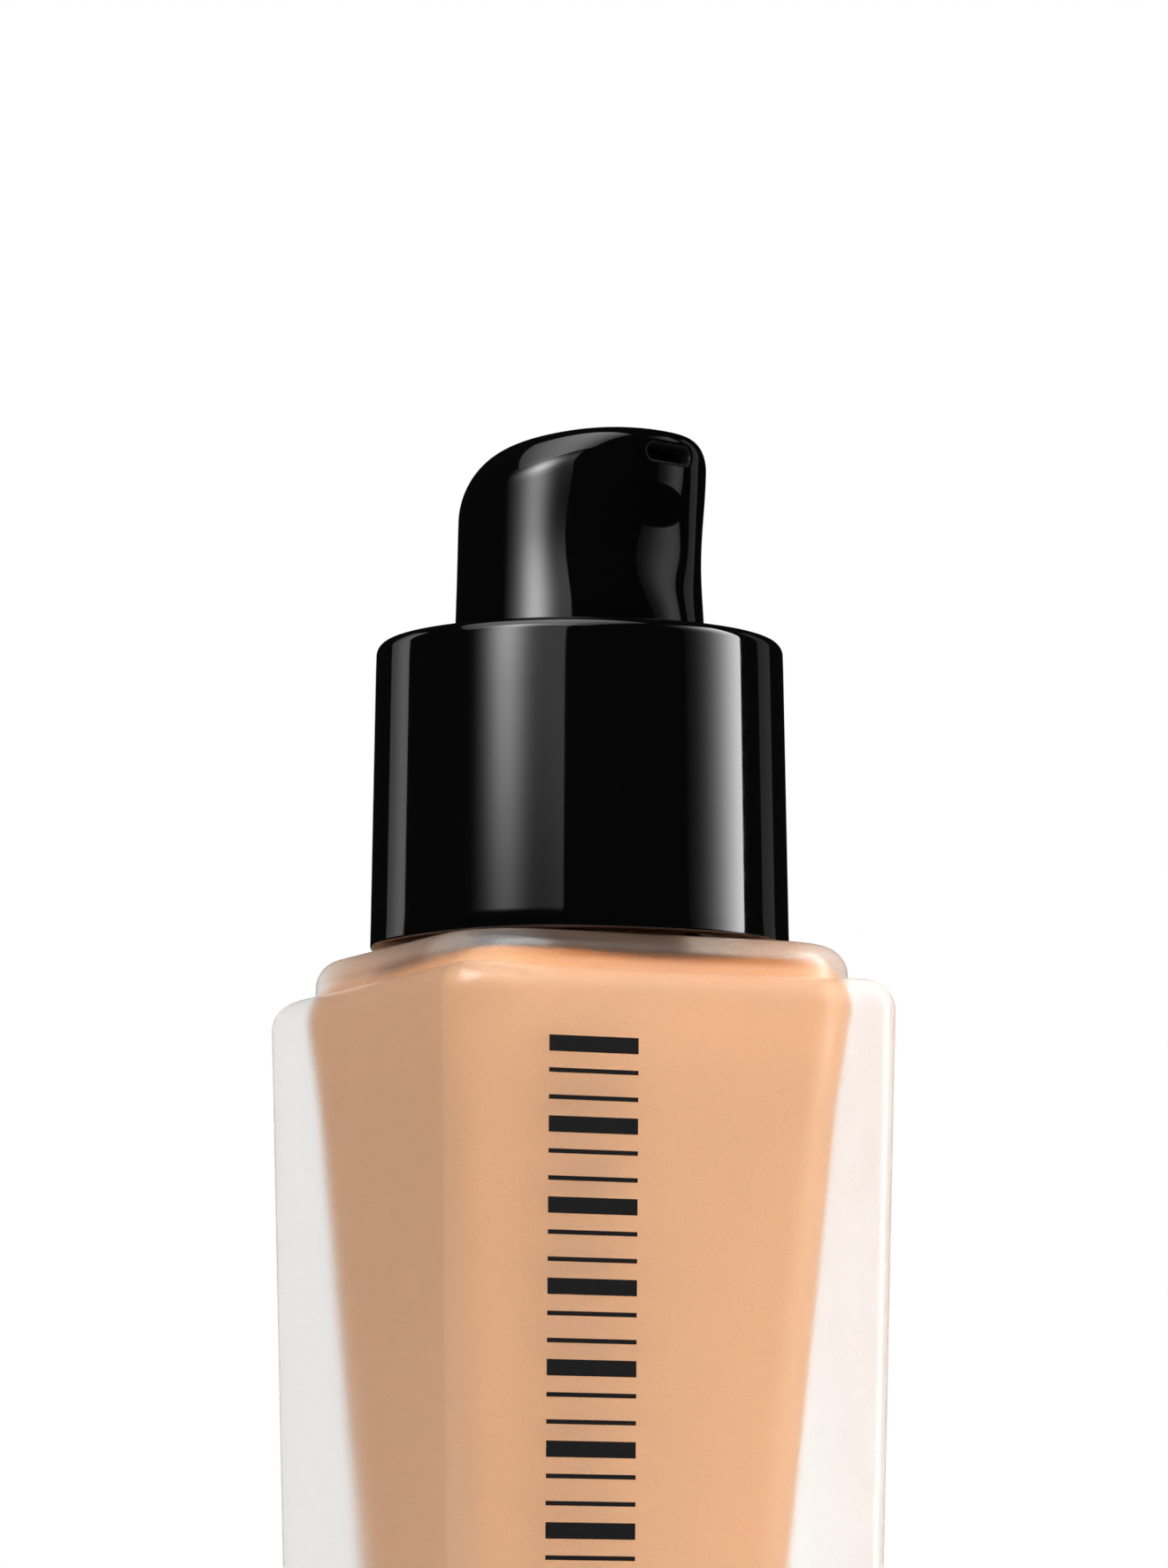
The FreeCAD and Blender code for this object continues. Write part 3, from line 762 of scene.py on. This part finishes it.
@dataclass
class Head:
    """The press-down head with its slot spout, in millimetres, modelled with the spout along +X."""

    finishes: Finishes
    radius: float = 9.03
    wall: float = 1.1
    crown_radius: float = 50.0
    crest: float = 8.5
    edge_widths: tuple[float, float] = (1.3, 2.85)
    edge_heights: tuple[float, float] = (1.3, 3.6)
    edge_spread: float = 0.9
    lean_top: float = 0.5
    collar_top: float = 97.4
    turn_deg: float = 21.5
    spout_rise: float = 13.1
    spout: tuple[float, float] = (5.0, 1.75)
    lip: float = 0.3
    bar_from: float = 4.0
    bar_past: float = 3.0
    scoop_depth: float = 0.9
    scoop_spread: float = 0.62
    scoop_levels: tuple[float, float] = (98.2, 109.4)
    flare: float = 0.13
    flare_rise: float = 7.0
    edge_least: float = 0.4
    segments: int = 240
    wall_steps: int = 44
    edge_steps: int = 19
    crown_steps: int = 26

    @property
    def bottom(self) -> float:
        """The level of the skirt's foot."""
        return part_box("actuator_shell")[0].z / MM

    @property
    def peak(self) -> float:
        """The level of the head's highest point."""
        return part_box("actuator_shell")[1].z / MM

    def lean(self, z: np.ndarray) -> np.ndarray:
        """How far the section at a level is shifted to the spout's side."""
        rise = np.maximum(z - self.collar_top, 0) / (self.peak - self.collar_top)
        return self.lean_top * rise**2

    def crown(self, x: np.ndarray) -> np.ndarray:
        """The level of the swept top at a distance towards the spout."""
        back = np.minimum(x - self.crest, 0)
        return self.peak - self.crown_radius + np.sqrt(self.crown_radius**2 - back**2)

    def slope(self, x: np.ndarray) -> np.ndarray:
        """The climb of the swept top at a distance towards the spout."""
        back = np.minimum(x - self.crest, 0)
        return -back / np.sqrt(self.crown_radius**2 - back**2)

    def edge(self, turns: np.ndarray, sizes: tuple[float, float]) -> np.ndarray:
        """The size of the rounded top edge, tight over the spout and full everywhere else."""
        away = np.minimum(turns, 2 * math.pi - turns) / self.edge_spread
        tight, full = sizes
        return tight + (full - tight) * (1 - np.exp(-(away**3)))

    def hollow(self, turns: np.ndarray, z: np.ndarray) -> np.ndarray:
        """How far the wall stands inside the plain column: scooped under the spout, flared at its foot."""
        away = np.minimum(turns, 2 * math.pi - turns) / self.scoop_spread
        low, high = self.scoop_levels
        share = np.clip((z - low) / (high - low), 0, 1)
        scoop = self.scoop_depth * np.exp(-(away**2)) * np.sin(math.pi * share) ** 2
        foot = np.clip(1 - (z - self.collar_top) / self.flare_rise, 0, 1)
        return scoop - self.flare * foot**2

    def faced(self, points: np.ndarray) -> np.ndarray:
        """Turns points from the +X spout to the spout's direction at rest, in metres."""
        turn = Matrix.Rotation(math.radians(self.turn_deg - 90), 3, "Z")
        return points @ np.array(turn).T * MM

    def skin(self, inset: float) -> list[Ring]:
        """The rings of the head's surface, from its foot to its centre.

        Args:
            inset: How far the skin lies inside the outer one.

        Returns:
            Rings with the spout along +X, in millimetres.
        """
        turns = np.linspace(0, 2 * math.pi, self.segments, endpoint=False)
        across, along = np.cos(turns), np.sin(turns)
        radius = self.radius - inset
        width = np.maximum(self.edge(turns, self.edge_widths) - inset, self.edge_least)
        height = np.maximum(self.edge(turns, self.edge_heights) - inset, self.edge_least)
        rim = radius - width
        rim_z = self.crown(rim * across) - inset
        climb = self.slope(rim * across) * across
        corner_z = rim_z + climb * width
        wall_z = corner_z - height
        rings = []

        def ring(r: np.ndarray | float, z: np.ndarray) -> None:
            rings.append(np.column_stack([r * across + self.lean(z), r * along, z]))

        for share in np.linspace(0, 1, self.wall_steps):
            z = self.bottom + (wall_z - self.bottom) * share
            ring(radius - self.hollow(turns, z), z)
        for share in np.linspace(0, 1, self.edge_steps)[1:]:
            r = bezier(share, radius, radius, rim + ROUND * width, rim)
            z = bezier(share, wall_z, wall_z + ROUND * height, rim_z + ROUND * climb * width, rim_z)
            ring(r - self.hollow(turns, z), z)
        for share in np.linspace(1, 0, self.crown_steps)[1:-1]:
            r = rim * share
            ring(r, self.crown(r * across) - inset)
        return rings

    def make_shell(self) -> bpy.types.Object:
        """The hollow shell, with the spout's slot cut through its front."""
        outer = self.skin(0.0)
        inner = self.skin(self.wall)
        rings = [self.faced(r) for r in inner[::-1] + outer]
        shell = lofted("head_shell", rings)
        width, height = self.spout
        cutter = self.stadium_bar("spout_cutter", width, height)
        cut = shell.modifiers.new("spout", "BOOLEAN")
        cut.operation = "DIFFERENCE"
        cut.solver = "EXACT"
        cut.object = cutter
        shell = baked(shell)
        bpy.data.objects.remove(cutter)
        smoothed(shell.data)
        return placed(self.finishes.dress(shell, Slot.BLACK), Body.HEAD, Slot.BLACK, "actuator_shell")

    def nearest(self, node: str) -> float:
        """The smallest distance of a node's vertices along the spout's direction, in millimetres."""
        points = np.array([v.co for v in frame["nodes"][node].data.vertices])
        turn = math.radians(self.turn_deg - 90)
        direction = np.array([math.cos(turn), math.sin(turn), 0])
        return float((points @ direction).min() / MM)

    def stadium(self, width: float, height: float, steps: int = 16) -> np.ndarray:
        """A rounded-slot outline about the spout's centre, as (y, z) in millimetres."""
        radius = height / 2
        half = width / 2 - radius
        right = np.radians(np.linspace(-90, 90, steps + 1))
        left = np.radians(np.linspace(90, 270, steps + 1))
        return np.concatenate([
            np.column_stack([half + radius * np.cos(right), radius * np.sin(right)]),
            np.column_stack([-half + radius * np.cos(left), radius * np.sin(left)]),
        ]) + (0, self.collar_top + self.spout_rise)

    def stadium_bar(self, name: str, width: float, height: float) -> bpy.types.Object:
        """A plain bar of rounded-slot section, from inside the shell out through the spout."""
        outline = self.stadium(width, height)
        rings = []
        for x in (self.bar_from, self.radius + self.bar_past):
            rings.append(self.faced(np.column_stack([np.full(len(outline), x), outline])))
        return lofted(name, rings)

    def make_lining(self) -> bpy.types.Object:
        """The spout's lining: a rounded lip that follows the head's curve, and its inner wall."""
        width, height = self.spout
        front = self.radius + float(self.lean(np.array(self.collar_top + self.spout_rise)))
        depth = front - self.nearest("nozzle_insert")
        rings = []
        path = [(0.0, depth), (0.0, 0.16), (0.06, 0.04), (0.16, 0.0), (0.24, 0.04), (self.lip, 0.16),
                (self.lip, depth)]
        for inward, back in path:
            outline = self.stadium(width - 2 * inward, height - 2 * inward)
            curve = front - np.sqrt(front**2 - outline[:, 0] ** 2)
            x = front - curve - 0.1 - back
            if back == depth:
                x = np.full(len(outline), front - depth)
            rings.append(self.faced(np.column_stack([x, outline])))
        lining = self.finishes.dress(lofted("spout_lining", rings, closed=True), Slot.INNER)
        return placed(lining, Body.HEAD, Slot.INNER, "nozzle_insert")

    def make(self) -> list[bpy.types.Object]:
        """Builds the shell and the spout's lining, and returns them."""
        return [self.make_shell(), self.make_lining()]


# ---------------------------------------------------------------- repeated and wound shapes


class NodeRig(Graph):
    """A geometry node tree with named inputs, which ends in Realize Instances and Set Material."""

    def __init__(self, name: str, **sizes: float | int) -> None:
        """Starts a tree whose inputs have these names and values."""
        super().__init__(bpy.data.node_groups.new(name, "GeometryNodeTree"))
        self.name = name
        self.sizes = sizes
        self.tree.interface.new_socket("Geometry", in_out="OUTPUT", socket_type="NodeSocketGeometry")
        for key, value in sizes.items():
            kind = "NodeSocketInt" if isinstance(value, int) else "NodeSocketFloat"
            self.tree.interface.new_socket(key, in_out="INPUT", socket_type=kind)
        self.inputs = self.add("NodeGroupInput").outputs

    def link(self, source: bpy.types.NodeSocket | str, target: bpy.types.NodeSocket) -> None:
        """Links a socket, or a named input, to another socket."""
        super().link(self.inputs[source] if isinstance(source, str) else source, target)

    def vector(self, **axes: object) -> bpy.types.NodeSocket:
        """A vector from sockets, named inputs or numbers, by axis; an axis left out is 0."""
        node = self.add("ShaderNodeCombineXYZ")
        for axis, value in axes.items():
            if isinstance(value, (int, float)):
                node.inputs[axis].default_value = value
            else:
                self.link(value, node.inputs[axis])
        return node.outputs[0]

    def disc(self, radius: str, steps: int) -> bpy.types.NodeSocket:
        """A circle whose radius is a named input."""
        node = self.add("GeometryNodeCurvePrimitiveCircle")
        node.inputs["Resolution"].default_value = steps
        self.link(radius, node.inputs["Radius"])
        return node.outputs[0]

    def wound(self, curve: bpy.types.NodeSocket, section: bpy.types.NodeSocket) -> bpy.types.Node:
        """Runs a section along a curve, with closed ends."""
        node = self.add("GeometryNodeCurveToMesh")
        node.inputs["Fill Caps"].default_value = True
        self.link(curve, node.inputs["Curve"])
        self.link(section, node.inputs["Profile Curve"])
        return node

    def grow(self, shape: bpy.types.NodeSocket, material: bpy.types.Material) -> bpy.types.Object:
        """Ends the tree, runs it on an empty mesh and keeps only the plain mesh that it makes.

        Args:
            shape: The geometry to finish.
            material: The material of the whole piece.

        Returns:
            The finished object, with no modifier left on it.
        """
        real = self.add("GeometryNodeRealizeInstances")
        paint = self.add("GeometryNodeSetMaterial")
        paint.inputs["Material"].default_value = material
        self.link(shape, real.inputs[0])
        self.link(real.outputs[0], paint.inputs["Geometry"])
        self.link(paint.outputs[0], self.add("NodeGroupOutput").inputs[0])
        piece = bpy.data.objects.new(self.name, bpy.data.meshes.new(self.name))
        bpy.context.scene.collection.objects.link(piece)
        rig = piece.modifiers.new(self.name, "NODES")
        rig.node_group = self.tree
        for item in self.tree.interface.items_tree:
            if item.item_type == "SOCKET" and item.in_out == "INPUT":
                rig[item.identifier] = self.sizes[item.name]
        return baked(piece)


@dataclass
class Windings:
    """The pieces that are wound round the axis: the return spring and the neck's thread."""

    finishes: Finishes
    wire: float = 0.28
    spring_turns: float = 6.0
    spring_keep: float = 0.552
    thread_pitch: float = 3.0
    thread_turns: float = 1.5
    thread_start: float = 78.2
    thread_root: float = 7.55
    thread_height: float = 1.15
    thread_slim: float = 0.72
    thread_tip: float = 0.35
    thread_fade: float = 18.0
    steps_a_turn: int = 48

    def helix(self, rig: NodeRig) -> bpy.types.NodeSocket:
        """A helix from a rig's Turns, Radius, Height and Start inputs."""
        spiral = rig.add("GeometryNodeCurveSpiral")
        spiral.inputs["Resolution"].default_value = self.steps_a_turn
        rig.link("Turns", spiral.inputs["Rotations"])
        rig.link("Radius", spiral.inputs["Start Radius"])
        rig.link("Radius", spiral.inputs["End Radius"])
        rig.link("Height", spiral.inputs["Height"])
        move = rig.add("GeometryNodeTransform")
        rig.link(spiral.outputs[0], move.inputs["Geometry"])
        rig.link(rig.vector(Z="Start"), move.inputs["Translation"])
        return move.outputs[0]

    def make_spring(self) -> None:
        """The steel return spring round the pump's core, built as one fixed coil at its rest length; it rides
        on the plunger and does not close up as the head goes down.
        """
        low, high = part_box("return_spring")
        rig = NodeRig("return_coil", Turns=self.spring_turns, Radius=high.x - self.wire * MM,
                      Height=high.z - low.z - 2 * self.wire * MM, Start=low.z + self.wire * MM,
                      Wire=self.wire * MM)
        coil = rig.wound(self.helix(rig), rig.disc("Wire", 14)).outputs[0]
        spring = rig.grow(coil, self.finishes.by_slot[Slot.STEEL])
        placed(spring, Body.PLUNGER, Slot.STEEL, "return_spring")
        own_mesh(spring)

    def faded(self, rig: NodeRig) -> bpy.types.NodeSocket:
        """The thickness along the thread: full, but for its two ends."""
        along = rig.add("GeometryNodeSplineParameter").outputs["Factor"]
        both = rig.maths("MULTIPLY", along, rig.maths("SUBTRACT", 1.0, along))
        rising = rig.maths("ADD", rig.maths("MULTIPLY", both, self.thread_fade), self.thread_tip)
        return rig.maths("MINIMUM", rising, 1.0)

    def make_thread(self) -> None:
        """The glass thread ridge round the neck."""
        rig = NodeRig("neck_thread", Turns=self.thread_turns, Radius=self.thread_root * MM,
                      Height=self.thread_pitch * self.thread_turns * MM, Start=self.thread_start * MM,
                      Depth=self.thread_height * MM)
        slim = rig.add("GeometryNodeTransform")
        slim.inputs["Scale"].default_value = (1.0, self.thread_slim, 1.0)
        rig.link(rig.disc("Depth", 16), slim.inputs["Geometry"])
        upright = rig.add("GeometryNodeSetCurveNormal", mode="Z_UP")
        rig.link(self.helix(rig), upright.inputs[0])
        fade = rig.add("GeometryNodeSetCurveRadius")
        rig.link(self.faded(rig), fade.inputs["Radius"])
        rig.link(upright.outputs[0], fade.inputs["Curve"])
        ridge = rig.wound(fade.outputs[0], slim.outputs[0])
        rig.link(rig.add("GeometryNodeInputRadius").outputs[0], ridge.inputs["Scale"])
        thread = rig.grow(ridge.outputs[0], self.finishes.by_slot[Slot.GLASS])
        placed(thread, Body.BOTTLE, Slot.GLASS, "bottle_glass")

    def make(self) -> None:
        """Builds both windings."""
        self.make_spring()
        self.make_thread()


@dataclass
class FrontMark:
    """A plain column of printed bars down the front face, thick ones between pairs of thin ones."""

    finishes: Finishes
    bottle: Bottle
    middle: float = -6.85
    width: float = 6.9
    top: float = 66.2
    pitch: float = 1.9
    count: int = 25
    thick: float = 1.15
    thin: float = 0.32
    ink: float = 0.03
    gap: float = 0.004

    def make(self) -> None:
        """Lays the bars down the tapered face."""
        rig = NodeRig("front_mark", Count=self.count, Pitch=self.pitch * MM, Width=self.width * MM,
                      Thick=self.thick * MM, Thin=self.thin * MM, Ink=self.ink * MM)
        line = rig.add("GeometryNodeMeshLine")
        rig.link("Count", line.inputs["Count"])
        rig.link(rig.vector(Z=rig.maths("MULTIPLY", "Pitch", -1.0)), line.inputs["Offset"])
        bar = rig.add("GeometryNodeMeshCube")
        rig.link(rig.vector(X="Width", Y="Ink", Z=MM), bar.inputs["Size"])
        third = rig.maths("MODULO", rig.add("GeometryNodeInputIndex").outputs[0], 3.0)
        heavy = rig.maths("LESS_THAN", third, 0.5)
        spread = rig.maths("SUBTRACT", "Thick", "Thin")
        height = rig.maths("ADD", rig.maths("MULTIPLY", heavy, spread), "Thin")
        spots = rig.add("GeometryNodeInstanceOnPoints")
        rig.link(line.outputs[0], spots.inputs["Points"])
        rig.link(bar.outputs["Mesh"], spots.inputs["Instance"])
        rig.link(rig.vector(X=1.0, Y=1.0, Z=rig.maths("DIVIDE", height, MM)), spots.inputs["Scale"])
        mark = rig.grow(spots.outputs[0], self.finishes.ink)
        bottle = self.bottle
        face = -bottle.section(self.top).half - self.gap - self.ink / 2
        lay = Matrix.Translation(Vector((self.middle, face, self.top)) * MM)
        lay @= Matrix.Rotation(math.atan(bottle.taper), 4, "X")
        mark.data.transform(lay)
        placed(mark, Body.BOTTLE, Slot.BLACK)


# ---------------------------------------------------------------- studio


@dataclass(frozen=True)
class SoftPanel:
    """A rectangular soft light with an upright bright band on it and soft edges.

    Attributes:
        base: The strength away from the band.
        band: What the band adds at its middle.
        band_at: Where the band's middle lies, from 0 at one side to 1 at the other.
        band_width: How far from its middle the band falls to about a third.
        fade: The span of heights, from 0 to 1, over which the light rises from nothing.
        shelf: The span across the panel over which the base rises from nothing.
        close: The span of heights over which the light falls to nothing, its upper end first.
    """

    name: str
    azimuth: float
    elevation: float
    width: float
    height: float
    base: float = 0.0
    band: float = 0.0
    band_at: float = 0.5
    band_width: float = 1.0
    fade: tuple[float, float] = (-1.0, 0.0)
    shelf: tuple[float, float] = (-1.0, 0.0)
    close: tuple[float, float] = (3.0, 2.0)
    distance: float = 0.75
    aim_z: float = 0.085
    power: float = 4.0

    def make(self) -> bpy.types.Object:
        """Adds the light, aimed at the bottle's upper half, and returns it."""
        data = bpy.data.lights.new(self.name, "AREA")
        data.shape = "RECTANGLE"
        data.size = self.width
        data.size_y = self.height
        data.energy = self.power * self.width * self.height
        data.use_nodes = True
        self.shade(Graph(data.node_tree))
        lamp = bpy.data.objects.new(self.name, data)
        lamp.visible_camera = False
        bpy.context.scene.collection.objects.link(lamp)
        lamp.location = seen_from(self.azimuth, self.elevation, self.distance, self.aim_z)
        back = lamp.location - Vector((0, 0, self.aim_z))
        lamp.rotation_euler = back.to_track_quat("Z", "Y").to_euler()
        return lamp

    def shade(self, graph: Graph) -> None:
        """Lays the band and the soft edges over the panel."""
        emission = next(n for n in graph.tree.nodes if n.type == "EMISSION")
        split = graph.add("ShaderNodeSeparateXYZ")
        graph.link(graph.add("ShaderNodeNewGeometry").outputs["Parametric"], split.inputs["Vector"])
        across, up = split.outputs[0], split.outputs[1]
        away = graph.maths("DIVIDE", graph.maths("SUBTRACT", across, self.band_at), self.band_width)
        square = graph.maths("MULTIPLY", away, away)
        fall = graph.maths("EXPONENT", graph.maths("MULTIPLY", square, -1.0))
        even = graph.maths("MULTIPLY", graph.ramp(across, *self.shelf), self.base)
        glow = graph.maths("ADD", graph.maths("MULTIPLY", fall, self.band), even)
        edges = graph.maths("MULTIPLY", graph.ramp(up, *self.fade), graph.ramp(up, *self.close))
        graph.link(graph.maths("MULTIPLY", glow, edges), emission.inputs["Strength"])


def seen_from(azimuth: float, elevation: float, distance: float, height: float) -> Vector:
    """A point round the bottle: azimuth 0 is in front, on -Y, and 90 is on +X, in degrees."""
    a, e = math.radians(azimuth), math.radians(elevation)
    away = Vector((math.sin(a) * math.cos(e), -math.cos(a) * math.cos(e), math.sin(e)))
    return Vector((0, 0, height)) + away * distance


@dataclass
class Studio:
    """The camera, the lights, the white surroundings and the floor."""

    azimuth: float = -24.3
    elevation: float = -5.88
    distance: float = 0.5805
    aim_z: float = 0.072
    pitch: float = 6.35
    lens: float = 182.8
    shift: tuple[float, float] = (0.0028, 0.0897)
    gloss_sees: float = 0.004
    glass_sees: float = 1.12
    fluid_sees: tuple[float, float] = (0.2, 0.85)
    around_grey: float = 0.8
    bright_side: float = 135.0
    floor_half: float = 3.0
    side: bpy.types.Object | None = None
    shoulder: bpy.types.Object | None = None
    below: list[bpy.types.Object] = field(default_factory=list)
    above: list[bpy.types.Object] = field(default_factory=list)

    def make_camera(self) -> None:
        """A long lens a little below the bottle's shoulder, looking slightly up."""
        data = bpy.data.cameras.new("camera")
        data.lens = self.lens
        data.sensor_width = 36.0
        data.shift_x, data.shift_y = self.shift
        camera = bpy.data.objects.new("camera", data)
        bpy.context.scene.collection.objects.link(camera)
        camera.location = seen_from(self.azimuth, self.elevation, self.distance, self.aim_z)
        camera.rotation_euler = (math.radians(90 + self.pitch), 0, math.radians(self.azimuth))
        bpy.context.scene.camera = camera

    def make_lights(self) -> None:
        """The key, side, rim, shoulder and top lights, placed round the camera's direction."""
        front = self.azimuth
        key = SoftPanel("key_light", front - 42, 24, 1.0, 0.62, base=0.75, band=5.0, band_at=0.509,
                        band_width=0.134, fade=(0.10, 0.25), shelf=(0.2, 0.5))
        head_key = SoftPanel("head_key_light", front - 42, 20, 1.0, 0.50, base=1.0, band=11.0, band_at=0.503,
                             band_width=0.17, fade=(0.0, 0.50), shelf=(0.0, 0.3), close=(0.9, 0.35))
        left_rim = SoftPanel("left_rim_light", front - 122, 14, 0.27, 0.60, base=0.2, band=0.7,
                             band_at=0.9, band_width=0.5)
        right_rim = SoftPanel("right_rim_light", front + 128, 14, 0.20, 0.60, base=0.13)
        top = SoftPanel("top_light", front - 32, 60, 1.1, 0.85, band=2.6, band_width=0.40)
        side = SoftPanel("side_light", front + 82, 22, 0.56, 0.80, band=7.6, band_at=1.0, band_width=0.44)
        head_side = SoftPanel("head_side_light", front + 91, 20, 0.46, 0.72, base=0.05, band=0.5,
                              band_at=0.7, band_width=0.35)
        self.shoulder = SoftPanel("shoulder_light", front + 14, 60, 0.70, 0.40, base=4.5).make()
        top.make()
        right_rim.make()
        self.side = side.make()
        self.below = [key.make(), left_rim.make()]
        self.above = [head_key.make(), head_side.make()]

    def part_lights(self, head: list[bpy.types.Object], bottle: list[bpy.types.Object]) -> None:
        """Gives the head its own key and side lights, and keeps the collar's bands off the bottle."""
        self.link(self.side, head, "EXCLUDE")
        self.link(self.shoulder, bottle, "INCLUDE")
        for lamp in self.below:
            self.link(lamp, [*bottle, *head], "EXCLUDE")
        for lamp in self.above:
            self.link(lamp, head, "INCLUDE")

    def link(self, lamp: bpy.types.Object, pieces: list[bpy.types.Object], state: str) -> None:
        """Makes a light reach only the given pieces, or all but them."""
        group = bpy.data.collections.new(lamp.name + "_receivers")
        lamp.light_linking.receiver_collection = group
        for piece in pieces:
            group.objects.link(piece)
        for entry in group.collection_objects:
            entry.light_linking.link_state = state

    def background(self, graph: Graph, strength: float, grey: float = 1.0) -> bpy.types.Node:
        """A plain background of a strength, white unless a grey is given."""
        node = graph.add("ShaderNodeBackground")
        node.inputs["Color"].default_value = (grey, grey, grey, 1)
        node.inputs["Strength"].default_value = strength
        return node

    def mixed(self, graph: Graph, share: bpy.types.NodeSocket, first: bpy.types.Node,
              second: bpy.types.Node) -> bpy.types.Node:
        """Mixes two backgrounds by a share from 0 to 1."""
        node = graph.add("ShaderNodeMixShader")
        graph.link(share, node.inputs["Fac"])
        graph.link(first.outputs[0], node.inputs[1])
        graph.link(second.outputs[0], node.inputs[2])
        return node

    def surrounding(self, graph: Graph, path: bpy.types.Node) -> bpy.types.NodeSocket:
        """The strength that reaches the glass evenly, and the fluid more from one side."""
        toward = graph.add("ShaderNodeVectorMath", operation="DOT_PRODUCT")
        toward.inputs[1].default_value = seen_from(self.azimuth + self.bright_side, 10, 1.0, 0.0)
        graph.link(graph.add("ShaderNodeTexCoord").outputs["Generated"], toward.inputs[0])
        level = graph.mapped(toward.outputs["Value"], (-1.0, 0.2), self.fluid_sees)
        scattered = graph.maths("GREATER_THAN", path.outputs["Diffuse Depth"], 0.5)
        change = graph.maths("MULTIPLY", graph.maths("SUBTRACT", level, self.glass_sees), scattered)
        return graph.maths("ADD", change, self.glass_sees)

    def make_world(self) -> None:
        """White to the eye and through the glass, and nearly black in reflections."""
        world = bpy.data.worlds.new("surroundings")
        bpy.context.scene.world = world
        world.use_nodes = True
        graph = Graph(world.node_tree)
        output = next(n for n in graph.tree.nodes if n.type == "OUTPUT_WORLD")
        path = graph.add("ShaderNodeLightPath")
        around = self.background(graph, 1.0, self.around_grey)
        graph.link(self.surrounding(graph, path), around.inputs["Strength"])
        mirrored = graph.maths("SUBTRACT", path.outputs["Is Glossy Ray"], path.outputs["Is Transmission Ray"])
        seen = self.mixed(graph, mirrored, around, self.background(graph, self.gloss_sees))
        final = self.mixed(graph, path.outputs["Is Camera Ray"], seen, self.background(graph, 1.0))
        graph.link(final.outputs[0], output.inputs["Surface"])

    def make_floor(self) -> None:
        """A plain pale floor, which fades out round the bottle."""
        half = self.floor_half
        corners = np.array([(-half, -half, 0), (half, -half, 0), (half, half, 0), (-half, half, 0)])
        floor = mesh_piece("studio_floor", corners, [(0, 1, 2, 3)])
        floor.data.materials.append(FloorPaint().make())
        floor.visible_glossy = False

    def make(self) -> None:
        """Sets the whole studio up."""
        bpy.context.scene.view_settings.view_transform = "Standard"
        self.make_camera()
        self.make_lights()
        self.make_world()
        self.make_floor()


# ---------------------------------------------------------------- whole object


def dress_frame_nodes(finishes: Finishes) -> None:
    """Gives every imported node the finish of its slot."""
    for entry in frame["record"]["subparts"]:
        node = frame["nodes"][entry["node"]]
        finishes.dress(node, Slot(entry["material_slot"]))


def main() -> None:
    """Builds the studio, then the bottle, its collar and its head, in that order."""
    logging.basicConfig(level=logging.INFO, format="%(name)s: %(message)s")
    studio = Studio()
    studio.make()
    finishes = Finishes()
    dress_frame_nodes(finishes)
    bottle = Bottle(finishes)
    glass_and_fluid = bottle.make()
    FrontMark(finishes, bottle).make()
    Windings(finishes).make()
    Collar(finishes).make()
    studio.part_lights(Head(finishes).make(), glass_and_fluid)


if __name__ == "__main__":
    main()
